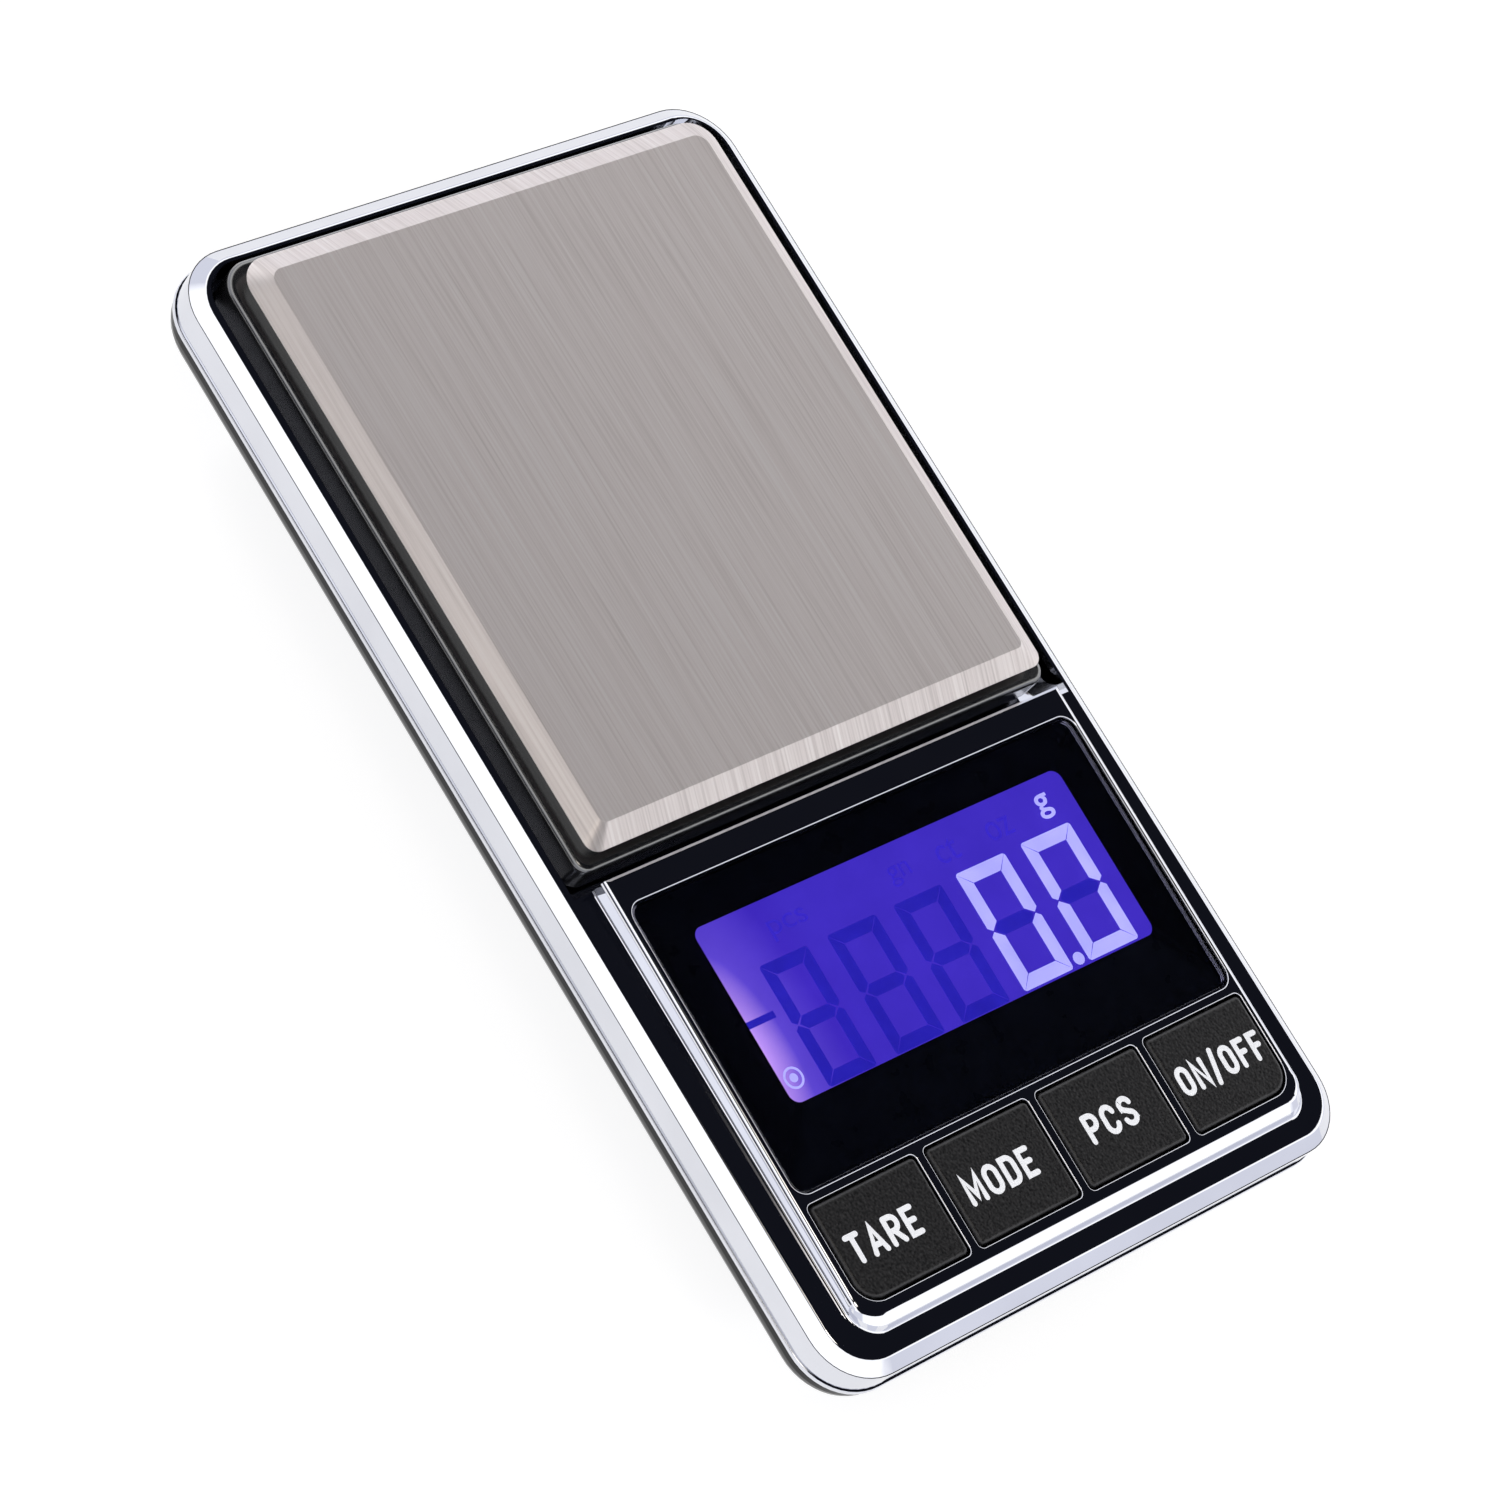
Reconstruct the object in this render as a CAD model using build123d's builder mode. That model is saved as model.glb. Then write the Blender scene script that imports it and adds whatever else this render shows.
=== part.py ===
from build123d import *
import os
import math

os.makedirs("parts", exist_ok=True)

# ---------------------------------------------------------------- dimensions (mm)
# The object lies flat: +Z up, +Y from the display end towards the pan end, +X to the
# right.  The origin is the centre of the resting footprint.

# --- housing outline
lip_w, lip_l, lip_r = 62.0, 110.0, 5.7          # chrome lip at the parting line
wall_w, wall_l, wall_r = 61.6, 109.6, 5.5       # housing side wall
seam_z = 13.1                                   # parting plane between the two shells
lip_h = 0.4                                     # height of the lip
rim_z = 17.05                                   # plane of the rim and of the band round the deck
chamfer_h, chamfer_w = 0.98, 1.30               # outer chamfer of the rim
crease_w = 0.08                                 # ledge between the wall and the chamfer

# --- well for the pan
well_w = 58.0                                   # inner width between the rim walls
well_y0, well_y1 = -9.35, 53.10                 # near and far walls of the well
well_r = 3.5                                    # far corners
well_floor_z = 14.0                             # top of the well floor
post_hole_x, post_hole_y0, post_hole_y1 = 6.4, 1.6, 16.4   # opening for the carrier post

# --- raised display deck, a shallow wedge that falls towards the near end
deck_y1 = -8.9                                  # far edge
deck_y0 = -51.67                                # near foot line, before the cove
deck_hw = 27.0                                  # half width at the foot, before the cove
deck_lean_side = 82.0                           # slope of the side faces, degrees
deck_lean_low, deck_lean_high, deck_break = 55.0, 34.0, 0.60   # near face: slopes under and over the height of its break
deck_cove_r = 0.35                              # cove between the deck and the band
deck_rise = 1.84                                # height over the rim plane at the far edge
deck_slope = 0.0158                             # fall per mm towards the near end
deck_corner_near, deck_corner_far = 2.6, 0.6
deck_edge_r = 0.65                              # rounding along the top edges
deck_skin = 2.2                                 # wall under the deck's top

# --- lens and display stack, depths below the deck's top surface
lens_w, lens_l, lens_t, lens_r = 51.9, 27.4, 0.8, 1.3
lens_s = -16.4                                  # centre, measured from the deck's far edge
lens_sink = 0.2                                 # how far the lens lies below the deck
tape_t = 0.1
view_x, view_s = 0.45, -14.85                   # centre of the window left open in the mask
view_w, view_l, view_r = 43.3, 16.7, 1.0
lcd_x, lcd_s = 0.45, -15.3                      # centre of the display glass
lcd_w, lcd_l = 47.2, 20.6
lcd_glass_t = 0.85
lcd_ledge = 2.2                                 # contact ledge of the upper glass
lcd_d = 1.15                                    # depth of the glass
light_t = 1.4
pcb_d, pcb_t = 4.4, 1.0
pcb_w, pcb_s0, pcb_s1 = 48.4, -40.2, -1.85

# --- buttons
hole_w, hole_l = 12.25, 9.5                     # openings in the deck
cap_gap = 0.22                                  # clearance round each cap
btn_pitch = 13.2
btn_s = -35.8                                   # centre of the row, from the deck's far edge
btn_r, btn_corner_r = 0.55, 2.4                 # ordinary corners and the outer near corner
btn_travel = 0.6

# --- bottom shell
base_z = 0.5                                    # underside of the shell, held up by the feet
flank_turn_z = 12.7                             # where the flank starts to round inwards
flank_r = 3.1
flank_deg = 42.0                                # lean of the flank from the vertical
floor_top_z = 2.5
foot_x, foot_y, foot_r = 16.9, 39.6, 3.0

# --- batteries and their bay
cell_r, cell_l, nub_r, nub_l = 5.2, 44.5, 1.9, 1.0
cell_x, cell_z = 5.5, 7.0
bay_hw, bay_y0, bay_y1, bay_wall = 11.2, -44.9, 1.6, 1.2
bay_top_z = 12.3
cell_y0 = -43.2
plate_t = 0.3
door_hw, tongue_hw = 12.0, 13.0
door_z0, tongue_z, door_z1 = 0.5, 1.05, 1.7
door_y1 = 2.4

# --- load cell
beam_w, beam_h = 9.0, 6.0
beam_y0, beam_y1, beam_z = 3.97, 41.37, 4.6
fixed_y = (33.4, 38.4)                          # screws of the fixed end
free_y = (6.6, 11.4)                            # screws of the loaded end

# --- pan
carrier_hw, carrier_y0, carrier_y1 = 27.5, -7.55, 52.75
carrier_ledge_z, carrier_z0 = 17.7, 14.75
pan_hw, pan_y0, pan_y1 = 26.6, -6.55, 51.85
pan_z0, pan_top_z, pan_t = 18.9, 20.0, 0.6
pan_bevel_w, pan_bevel_h = 1.85, 1.0
pan_r_far, pan_r_near = 2.7, 1.3

# the deck's own plane: origin on its far top edge, local y along the fall
tilt = math.atan(deck_slope)
deck_top = Plane(origin=(0, deck_y1, rim_z + deck_rise), x_dir=(1, 0, 0),
                 z_dir=(0, -math.sin(tilt), math.cos(tilt)))


def deck_at(depth):
    """The plane that lies the given depth below the deck's top."""
    return deck_top.offset(-depth)


def corner_rect(x0, x1, y0, y1, r_near_left, r_near_right, r_far_right, r_far_left):
    """A rectangle whose four corners have their own radii, drawn in the current sketch."""
    a, b, c, d = r_near_left, r_near_right, r_far_right, r_far_left
    q = math.sqrt(0.5)
    with BuildLine(mode=Mode.PRIVATE) as outline:
        Line((x0 + a, y0), (x1 - b, y0))
        ThreePointArc((x1 - b, y0), (x1 - b + b * q, y0 + b - b * q), (x1, y0 + b))
        Line((x1, y0 + b), (x1, y1 - c))
        ThreePointArc((x1, y1 - c), (x1 - c + c * q, y1 - c + c * q), (x1 - c, y1))
        Line((x1 - c, y1), (x0 + d, y1))
        ThreePointArc((x0 + d, y1), (x0 + d - d * q, y1 - d + d * q), (x0, y1 - d))
        Line((x0, y1 - d), (x0, y0 + a))
        ThreePointArc((x0, y0 + a), (x0 + a - a * q, y0 + a - a * q), (x0 + a, y0))
    make_face(outline.edges())


def flank_inset(z):
    """How far the bottom shell's outer surface lies inside the housing wall at a height."""
    phi = math.radians(flank_deg)
    z_end = flank_turn_z - flank_r * math.sin(phi)
    d_end = flank_r * (1 - math.cos(phi))
    if z >= flank_turn_z:
        return 0.0
    if z >= z_end:
        return flank_r - math.sqrt(flank_r ** 2 - (flank_turn_z - z) ** 2)
    return d_end + (z_end - z) * math.tan(phi)


btn_x = [(-1.5 + i) * btn_pitch for i in range(4)]
btn_names = ["button_tare", "button_mode", "button_pcs", "button_on_off"]


def btn_corners(i, r, rc):
    """Corner radii of button i: only the outer near corners of the row are large."""
    return (rc if i == 0 else r, rc if i == 3 else r, r, r)


# ---------------------------------------------------------------- top housing
def deck_section(height):
    """Outline of the deck block at a height over the rim plane, drawn in the current sketch."""
    side = deck_hw - height / math.tan(math.radians(deck_lean_side))
    near = deck_y0 + min(height, deck_break) / math.tan(math.radians(deck_lean_low))
    near += max(height - deck_break, 0) / math.tan(math.radians(deck_lean_high))
    corner = deck_corner_near - 0.1 * height
    corner_rect(-side, side, near, deck_y1 + 6, corner, corner, 2.8 - 0.1 * height, 2.8 - 0.1 * height)


with BuildPart() as deck_block:
    # sides lean inwards from the foot: far more at the near end than along the sides;
    # the block runs on past the deck's far edge, where the well cuts it off
    with BuildSketch(Plane.XY.offset(rim_z - 0.6)):
        deck_section(-0.6)
    with BuildSketch(Plane.XY.offset(rim_z + deck_break)):
        deck_section(deck_break)
    with BuildSketch(Plane.XY.offset(rim_z + 2.4)):
        deck_section(2.4)
    loft(ruled=True)
    split(bisect_by=deck_top, keep=Keep.BOTTOM)
    top_face = faces().sort_by(Axis.Z)[-1]
    fillet(top_face.edges(), deck_edge_r)

screw_near = [(-26.4, -50.0), (26.4, -50.0)]
screw_far = [(-17.6, 27.5), (17.6, 27.5)]
foot_pos = [(foot_x, foot_y), (-foot_x, foot_y), (foot_x, -foot_y), (-foot_x, -foot_y)]
pcb_screw_pos = [(-21.8, -3.35), (21.8, -3.35), (-21.8, -28.6), (21.8, -28.6)]
pcb_boss_r = 1.4

with BuildPart() as top_housing:
    with BuildSketch(Plane.XY.offset(seam_z)):
        RectangleRounded(wall_w, wall_l, wall_r)
    extrude(amount=rim_z - chamfer_h - seam_z)
    # outer chamfer of the rim, set in a hair so that a fine crease runs round the wall
    with BuildSketch(Plane.XY.offset(rim_z - chamfer_h)):
        RectangleRounded(wall_w - 2 * crease_w, wall_l - 2 * crease_w, wall_r - crease_w)
    with BuildSketch(Plane.XY.offset(rim_z)):
        RectangleRounded(wall_w - 2 * chamfer_w, wall_l - 2 * chamfer_w, wall_r - chamfer_w)
    loft(ruled=True)
    fillet(faces().sort_by(Axis.Z)[-1].edges(), 0.45)
    with BuildSketch(Plane.XY.offset(seam_z)):
        RectangleRounded(lip_w, lip_l, lip_r)
    extrude(amount=lip_h)
    fillet([e for e in edges() if abs(e.center().Z - seam_z - lip_h) < 0.001
            and (abs(e.center().X) > lip_w / 2 - lip_r / 2 or abs(e.center().Y) > lip_l / 2 - lip_r / 2)
            and e.length > 1
            and max(max(abs(v.X) - lip_w / 2, abs(v.Y) - lip_l / 2) for v in e.vertices()) > -0.01], 0.12)
    # the raised deck, with a cove round its foot
    add(deck_block.part)
    foot = [e for e in edges() if abs(e.center().X) < 28.2 and -52.9 < e.center().Y < 0
            and all(abs(v.Z - rim_z) < 0.01 for v in e.vertices())]
    fillet(foot, deck_cove_r)
    # the well; beside the deck it starts a little nearer
    with BuildSketch(Plane.XY.offset(well_floor_z)):
        corner_rect(-well_w / 2, well_w / 2, deck_y1, well_y1, 0.3, 0.3, well_r, well_r)
    extrude(amount=8, mode=Mode.SUBTRACT)
    with BuildSketch(Plane.XY.offset(well_floor_z)):
        for side in (-1, 1):
            with Locations((side * (deck_hw + well_w / 2 + 0.05) / 2, (well_y0 + deck_y1 + 1) / 2)):
                Rectangle(well_w / 2 - deck_hw - 0.05, deck_y1 + 1 - well_y0)
    extrude(amount=8, mode=Mode.SUBTRACT)
    # eased far edge of the deck
    with BuildSketch(Plane.YZ.offset(-28)):
        with BuildLine():
            far_top = rim_z + deck_rise
            Polyline((deck_y1 - 0.24, far_top + 0.24 * deck_slope), (deck_y1 + 0.2, far_top + 0.2),
                     (deck_y1 + 0.2, far_top - 0.28), (deck_y1 - 0.24, far_top + 0.24 * deck_slope))
        make_face()
    extrude(amount=56, mode=Mode.SUBTRACT)
    with BuildSketch(Plane.XY.offset(seam_z - 1)):
        with Locations((0, (post_hole_y0 + post_hole_y1) / 2)):
            RectangleRounded(2 * post_hole_x, post_hole_y1 - post_hole_y0, 1.0)
    extrude(amount=3, mode=Mode.SUBTRACT)
    # hollow under the band and the deck, open downwards
    with BuildSketch(Plane.XY.offset(seam_z - 0.5)):
        corner_rect(-29.1, 29.1, -53.1, -10.6, 3.6, 3.6, 0.5, 0.5)
    extrude(amount=0.5 + 15.6 - seam_z, mode=Mode.SUBTRACT)
    with BuildSketch(deck_at(deck_skin)):
        with Locations((0, -21.5)):
            RectangleRounded(51.6, 39.6, 1.0)
    extrude(amount=-4.2, mode=Mode.SUBTRACT)
    # recess for the lens and the opening for the display
    with BuildSketch(deck_top):
        with Locations((0, lens_s)):
            RectangleRounded(lens_w + 0.2, lens_l + 0.2, lens_r + 0.1)
    extrude(amount=-(lens_sink + lens_t + tape_t), mode=Mode.SUBTRACT)
    with BuildSketch(deck_at(0.5)):
        with Locations((lcd_x, lcd_s)):
            RectangleRounded(lcd_w + 0.8, lcd_l + 0.8, 0.6)
    extrude(amount=-3, mode=Mode.SUBTRACT)
    # openings for the four caps
    for i in range(4):
        with BuildSketch(deck_top.offset(1)):
            a, b, c, d = btn_corners(i, btn_r, btn_corner_r)
            corner_rect(btn_x[i] - hole_w / 2, btn_x[i] + hole_w / 2,
                        btn_s - hole_l / 2, btn_s + hole_l / 2, a, b, c, d)
        extrude(amount=-4.5, mode=Mode.SUBTRACT)
    # eased top edges of the recess and of the openings
    eased = []
    for e in edges():
        p = deck_top.to_local_coords(e.center())
        inside = abs(p.X) < deck_hw - 1.0 and -41.2 < p.Y < -2.0
        if inside and abs(p.Z) < 0.02 and all(abs(deck_top.to_local_coords(v.center()).Z) < 0.02 for v in e.vertices()):
            eased.append(e)
    fillet(eased, 0.14)
    # bosses: near pair inside the band, far pair under the well floor, four for the board
    with BuildSketch(Plane.XY.offset(seam_z)):
        with Locations(*screw_near):
            Circle(2.3)
    extrude(amount=15.8 - seam_z)
    with BuildSketch(Plane.XY.offset(seam_z)):
        with Locations(*screw_near):
            Circle(0.9)
    extrude(amount=2.2, mode=Mode.SUBTRACT)
    with BuildSketch(deck_at(deck_skin)):
        with Locations((0, -21.5)):
            RectangleRounded(51.6, 39.6, 1.0)
    extrude(amount=-1.4, mode=Mode.SUBTRACT)
    with BuildSketch(Plane.XY.offset(5.0)):
        with Locations(*screw_far):
            Circle(2.6)
    extrude(amount=seam_z - 5.0 + 0.2)
    with BuildSketch(Plane.XY.offset(4.9)):
        with Locations(*screw_far):
            Circle(0.9)
    extrude(amount=6.2, mode=Mode.SUBTRACT)
    with BuildSketch(deck_at(pcb_d)):
        with Locations(*pcb_screw_pos):
            Circle(pcb_boss_r)
    extrude(amount=pcb_d - deck_skin + 0.3)
    with BuildSketch(deck_at(pcb_d)):
        with Locations(*pcb_screw_pos):
            Circle(0.65)
    extrude(amount=1.8, mode=Mode.SUBTRACT)
top_housing.part.label = "top_housing"
export_step(top_housing.part, "parts/top_housing.step")

# ---------------------------------------------------------------- bottom shell
# The flank is built as a stack of lofts that follow its rounding and then its lean.


def shell_outline(z, inset):
    """Rounded outline of the shell at a height, inside the housing wall by the inset."""
    with BuildSketch(Plane.XY.offset(z)) as sk:
        RectangleRounded(wall_w - 2 * inset, wall_l - 2 * inset, max(wall_r - inset * 0.45, 1.0))
    return sk.sketch


wall_b = 1.6
z_levels = [seam_z, flank_turn_z]
for k in range(1, 5):
    z_levels.append(flank_turn_z - flank_r * math.sin(math.radians(flank_deg * k / 4)))
z_levels.append(base_z + 0.9)

with BuildPart() as bottom_shell:
    for za, zb in zip(z_levels[:-1], z_levels[1:]):
        loft(sections=[shell_outline(za, flank_inset(za)).face(),
                       shell_outline(zb, flank_inset(zb)).face()], ruled=True)
    loft(sections=[shell_outline(base_z + 0.9, flank_inset(base_z + 0.9)).face(),
                   shell_outline(base_z, flank_inset(base_z + 0.9) + 1.4).face()], ruled=True)
    # hollow, from the floor up
    inner = [(13.4, wall_b), (10.9, wall_b + 0.9), (floor_top_z, flank_inset(floor_top_z) + 1.9)]
    with BuildPart(mode=Mode.PRIVATE) as hollow:
        for (za, ia), (zb, ib) in zip(inner[:-1], inner[1:]):
            loft(sections=[shell_outline(za, ia).face(), shell_outline(zb, ib).face()], ruled=True)
    add(hollow.part, mode=Mode.SUBTRACT)
    # battery bay: walls and roof, open downwards
    with BuildPart(mode=Mode.PRIVATE) as bay:
        with BuildSketch(Plane.XY.offset(1.75)):
            with Locations((0, (bay_y0 + bay_y1) / 2)):
                Rectangle(2 * (bay_hw + bay_wall), bay_y1 - bay_y0 + 2 * bay_wall)
        extrude(amount=bay_top_z + 0.45 - 1.75)
    with BuildPart(mode=Mode.PRIVATE) as outer_form:
        for za, zb in zip(z_levels[:-1], z_levels[1:]):
            loft(sections=[shell_outline(za, flank_inset(za) + 0.3).face(),
                           shell_outline(zb, flank_inset(zb) + 0.3).face()], ruled=True)
    add(bay.part & outer_form.part)
    with BuildSketch(Plane.XY.offset(base_z - 0.5)):
        with Locations((0, (bay_y0 + bay_y1) / 2)):
            Rectangle(2 * bay_hw, bay_y1 - bay_y0)
    extrude(amount=bay_top_z - base_z + 0.5, mode=Mode.SUBTRACT)
    # divider rib between the two cells
    with BuildSketch(Plane.XY.offset(bay_top_z - 0.9)):
        with Locations((0, (bay_y0 + bay_y1) / 2)):
            Rectangle(0.5, bay_y1 - bay_y0 + 0.4)
    extrude(amount=1.0)
    # slot for the door and grooves for its tongues, open at the near end
    with BuildSketch(Plane.XY.offset(base_z - 0.5)):
        with Locations((0, (door_y1 + 0.2 - 60) / 2)):
            Rectangle(2 * (door_hw + 0.12), door_y1 + 0.2 + 60)
    extrude(amount=door_z1 + 0.05 - base_z + 0.5, mode=Mode.SUBTRACT)
    with BuildSketch(Plane.XY.offset(tongue_z - 0.05)):
        with Locations((0, (door_y1 + 0.2 - 60) / 2)):
            Rectangle(2 * (tongue_hw + 0.12), door_y1 + 0.2 + 60)
    extrude(amount=door_z1 + 0.05 - tongue_z + 0.05, mode=Mode.SUBTRACT)
    # pedestal for the load cell's fixed end
    with BuildSketch(Plane.XY.offset(floor_top_z - 0.2)):
        with Locations((0, 36.0)):
            RectangleRounded(beam_w + 2.4, 11.4, 1.0)
    extrude(amount=beam_z - floor_top_z + 0.2)
    with BuildSketch(Plane.XY.offset(base_z - 0.2)):
        with Locations(*[(0, y) for y in fixed_y]):
            Circle(1.65)
    extrude(amount=5, mode=Mode.SUBTRACT)
    with BuildSketch(Plane.XY.offset(base_z - 0.2)):
        with Locations(*[(0, y) for y in fixed_y]):
            Circle(2.35)
    extrude(amount=1.9, mode=Mode.SUBTRACT)
    # threaded pad for the overload stop
    with BuildSketch(Plane.XY.offset(floor_top_z - 0.2)):
        with Locations((0, 9.0)):
            Circle(3.0)
    extrude(amount=0.9)
    with BuildSketch(Plane.XY.offset(base_z - 0.2)):
        with Locations((0, 9.0)):
            Circle(1.3)
    extrude(amount=5, mode=Mode.SUBTRACT)
    # case screw columns
    with BuildPart(mode=Mode.PRIVATE) as near_col:
        with BuildSketch(Plane.XY.offset(3)):
            with Locations(*screw_near):
                Circle(2.6)
        extrude(amount=seam_z - 3)
    with BuildPart(mode=Mode.PRIVATE) as outer_form2:
        for za, zb in zip(z_levels[:-1], z_levels[1:]):
            loft(sections=[shell_outline(za, flank_inset(za) + 0.2).face(),
                           shell_outline(zb, flank_inset(zb) + 0.2).face()], ruled=True)
    add(near_col.part & outer_form2.part)
    with BuildSketch(Plane.XY.offset(3)):
        with Locations(*screw_near):
            Circle(1.15)
    extrude(amount=11, mode=Mode.SUBTRACT)
    with BuildSketch(Plane.XY.offset(3)):
        with Locations(*screw_near):
            Circle(2.05)
    extrude(amount=10.6 - 3, mode=Mode.SUBTRACT)
    with BuildSketch(Plane.XY.offset(floor_top_z - 0.2)):
        with Locations(*screw_far):
            Circle(3.0)
    extrude(amount=5.0 - floor_top_z + 0.2)
    with BuildSketch(Plane.XY.offset(base_z - 0.2)):
        with Locations(*screw_far):
            Circle(1.15)
    extrude(amount=6, mode=Mode.SUBTRACT)
    with BuildSketch(Plane.XY.offset(base_z - 0.2)):
        with Locations(*screw_far):
            Circle(2.05)
    extrude(amount=2.2, mode=Mode.SUBTRACT)
    # shallow seats for the feet
    with BuildSketch(Plane.XY.offset(base_z - 0.2)):
        with Locations(*foot_pos):
            Circle(foot_r + 0.1)
    extrude(amount=0.5, mode=Mode.SUBTRACT)
bottom_shell.part.label = "bottom_shell"
export_step(bottom_shell.part, "parts/bottom_shell.step")

# ---------------------------------------------------------------- battery door
with BuildPart() as battery_door:
    # side profile, with the near end leaning like the flank around it
    with BuildSketch(Plane.YZ):
        with BuildLine():
            y_a = -(wall_l / 2 - flank_inset(base_z + 0.9) - 1.4)
            y_b = -(wall_l / 2 - flank_inset(base_z + 0.9))
            y_c = -(wall_l / 2 - flank_inset(door_z1))
            Polyline((y_a, door_z0), (y_b, base_z + 0.9), (y_c, door_z1), (door_y1, door_z1),
                     (door_y1, door_z0), close=True)
        make_face()
    extrude(amount=door_hw, both=True)
    with BuildSketch(Plane.YZ):
        with BuildLine():
            Polyline((-44.0, tongue_z), (-44.0, door_z1), (door_y1, door_z1), (door_y1, tongue_z), close=True)
        make_face()
    extrude(amount=tongue_hw, both=True)
    # thumb grip: a row of fine grooves near the end it is pushed by
    with BuildSketch(Plane.XY.offset(door_z0)):
        with GridLocations(1, 1.6, 1, 7):
            with Locations((0, -36.0)):
                SlotOverall(13.0, 0.7)
    extrude(amount=0.3, mode=Mode.SUBTRACT)
    # arrow that shows which way it slides off
    with BuildSketch(Plane.XY.offset(door_z0)):
        with BuildLine():
            Polyline((-2.6, -27.0), (2.6, -27.0), (0, -30.0), close=True)
        make_face()
    extrude(amount=0.25, mode=Mode.SUBTRACT)
battery_door.part.label = "battery_door"
export_step(battery_door.part, "parts/battery_door.step")

# ---------------------------------------------------------------- lens and the mask behind it
with BuildPart() as lens_window:
    with BuildSketch(deck_at(lens_sink + lens_t)):
        with Locations((0, lens_s)):
            RectangleRounded(lens_w, lens_l, lens_r)
    extrude(amount=lens_t)
    chamfer(faces().sort_by(Axis.Z)[-1].edges(), 0.15)
lens_window.part.label = "lens_window"
export_step(lens_window.part, "parts/lens_window.step")

with BuildPart() as lens_mask:
    with BuildSketch(deck_at(lens_sink + lens_t + tape_t)):
        with Locations((0, lens_s)):
            RectangleRounded(lens_w - 0.4, lens_l - 0.4, lens_r - 0.2)
        with Locations((view_x, view_s)):
            RectangleRounded(view_w, view_l, view_r, mode=Mode.SUBTRACT)
    extrude(amount=tape_t)
lens_mask.part.label = "lens_mask"
export_step(lens_mask.part, "parts/lens_mask.step")

# ---------------------------------------------------------------- display glass, light, frame
with BuildPart() as lcd_panel:
    with BuildSketch(deck_at(lcd_d + lcd_glass_t)):
        with Locations((lcd_x, lcd_s)):
            Rectangle(lcd_w, lcd_l)
    extrude(amount=lcd_glass_t)
    with BuildSketch(deck_at(lcd_d + 2 * lcd_glass_t)):
        with Locations((lcd_x, lcd_s + lcd_ledge / 2)):
            Rectangle(lcd_w, lcd_l - lcd_ledge)
    extrude(amount=lcd_glass_t)
lcd_panel.part.label = "lcd_panel"
export_step(lcd_panel.part, "parts/lcd_panel.step")

light_d = lcd_d + 2 * lcd_glass_t
with BuildPart() as lcd_backlight:
    with BuildSketch(deck_at(light_d + light_t)):
        with Locations((lcd_x, lcd_s + lcd_ledge / 2)):
            Rectangle(lcd_w - 2.4, lcd_l - lcd_ledge - 1.6)
        with Locations((lcd_x - lcd_w / 2 + 1.2, lcd_s + lcd_ledge / 2)):
            Rectangle(1.4, 4.2, mode=Mode.SUBTRACT)
    extrude(amount=light_t)
lcd_backlight.part.label = "lcd_backlight"
export_step(lcd_backlight.part, "parts/lcd_backlight.step")

with BuildPart() as backlight_led:
    with BuildSketch(deck_at(light_d + light_t)):
        with Locations((lcd_x - lcd_w / 2 + 1.0, lcd_s + lcd_ledge / 2)):
            Rectangle(0.9, 3.2)
    extrude(amount=light_t - 0.1)
backlight_led.part.label = "backlight_led"
export_step(backlight_led.part, "parts/backlight_led.step")

with BuildPart() as lcd_frame:
    with BuildSketch(deck_at(pcb_d)):
        with Locations((lcd_x, lcd_s)):
            Rectangle(lcd_w + 2.2, lcd_l + 1.6)
            Rectangle(lcd_w + 0.2, lcd_l + 0.2, mode=Mode.SUBTRACT)
    extrude(amount=pcb_d - deck_skin - 0.05)
    # inner shelf that carries the light guide and fences the contact strip
    with BuildSketch(deck_at(pcb_d)):
        with Locations((lcd_x, lcd_s)):
            Rectangle(lcd_w + 0.4, lcd_l + 0.4)
        with Locations((lcd_x, lcd_s + lcd_ledge / 2)):
            Rectangle(lcd_w - 2.2, lcd_l - lcd_ledge - 1.4, mode=Mode.SUBTRACT)
        with Locations((lcd_x, lcd_s - lcd_l / 2 + lcd_ledge / 2)):
            Rectangle(lcd_w - 2.0, 1.7, mode=Mode.SUBTRACT)
        with Locations((lcd_x - lcd_w / 2 + 1.0, lcd_s + lcd_ledge / 2)):
            Rectangle(1.1, 3.4, mode=Mode.SUBTRACT)
    extrude(amount=pcb_d - light_d - 0.02)
    # notches round the board's screw bosses
    with BuildSketch(deck_at(pcb_d)):
        with Locations(*pcb_screw_pos):
            Circle(pcb_boss_r + 0.1)
    extrude(amount=4, mode=Mode.SUBTRACT)
lcd_frame.part.label = "lcd_frame"
export_step(lcd_frame.part, "parts/lcd_frame.step")

with BuildPart() as zebra_strip:
    with BuildSketch(deck_at(pcb_d)):
        with Locations((lcd_x, lcd_s - lcd_l / 2 + lcd_ledge / 2)):
            Rectangle(lcd_w - 2.6, 1.4)
    extrude(amount=pcb_d - lcd_d - lcd_glass_t)
zebra_strip.part.label = "zebra_strip"
export_step(zebra_strip.part, "parts/zebra_strip.step")

# ---------------------------------------------------------------- circuit board and parts
with BuildPart() as main_pcb:
    with BuildSketch(deck_at(pcb_d + pcb_t)):
        with Locations((0, (pcb_s0 + pcb_s1) / 2)):
            RectangleRounded(pcb_w, pcb_s1 - pcb_s0, 0.8)
        with Locations(*pcb_screw_pos):
            Circle(0.85, mode=Mode.SUBTRACT)
        with Locations((-13.9, -4.2), (13.9, -4.2), (16.6, -4.2), (17.9, -4.2)):
            Circle(0.5, mode=Mode.SUBTRACT)
    extrude(amount=pcb_t)
main_pcb.part.label = "main_pcb"
export_step(main_pcb.part, "parts/main_pcb.step")

with BuildPart() as controller_blob:
    with BuildSketch(deck_at(pcb_d + pcb_t)):
        with Locations((-18.4, -17.0)):
            Circle(4.2)
    extrude(amount=-1.5)
    fillet(faces().sort_by(Axis.Z)[0].edges(), 1.2)
controller_blob.part.label = "controller_blob"
export_step(controller_blob.part, "parts/controller_blob.step")

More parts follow.
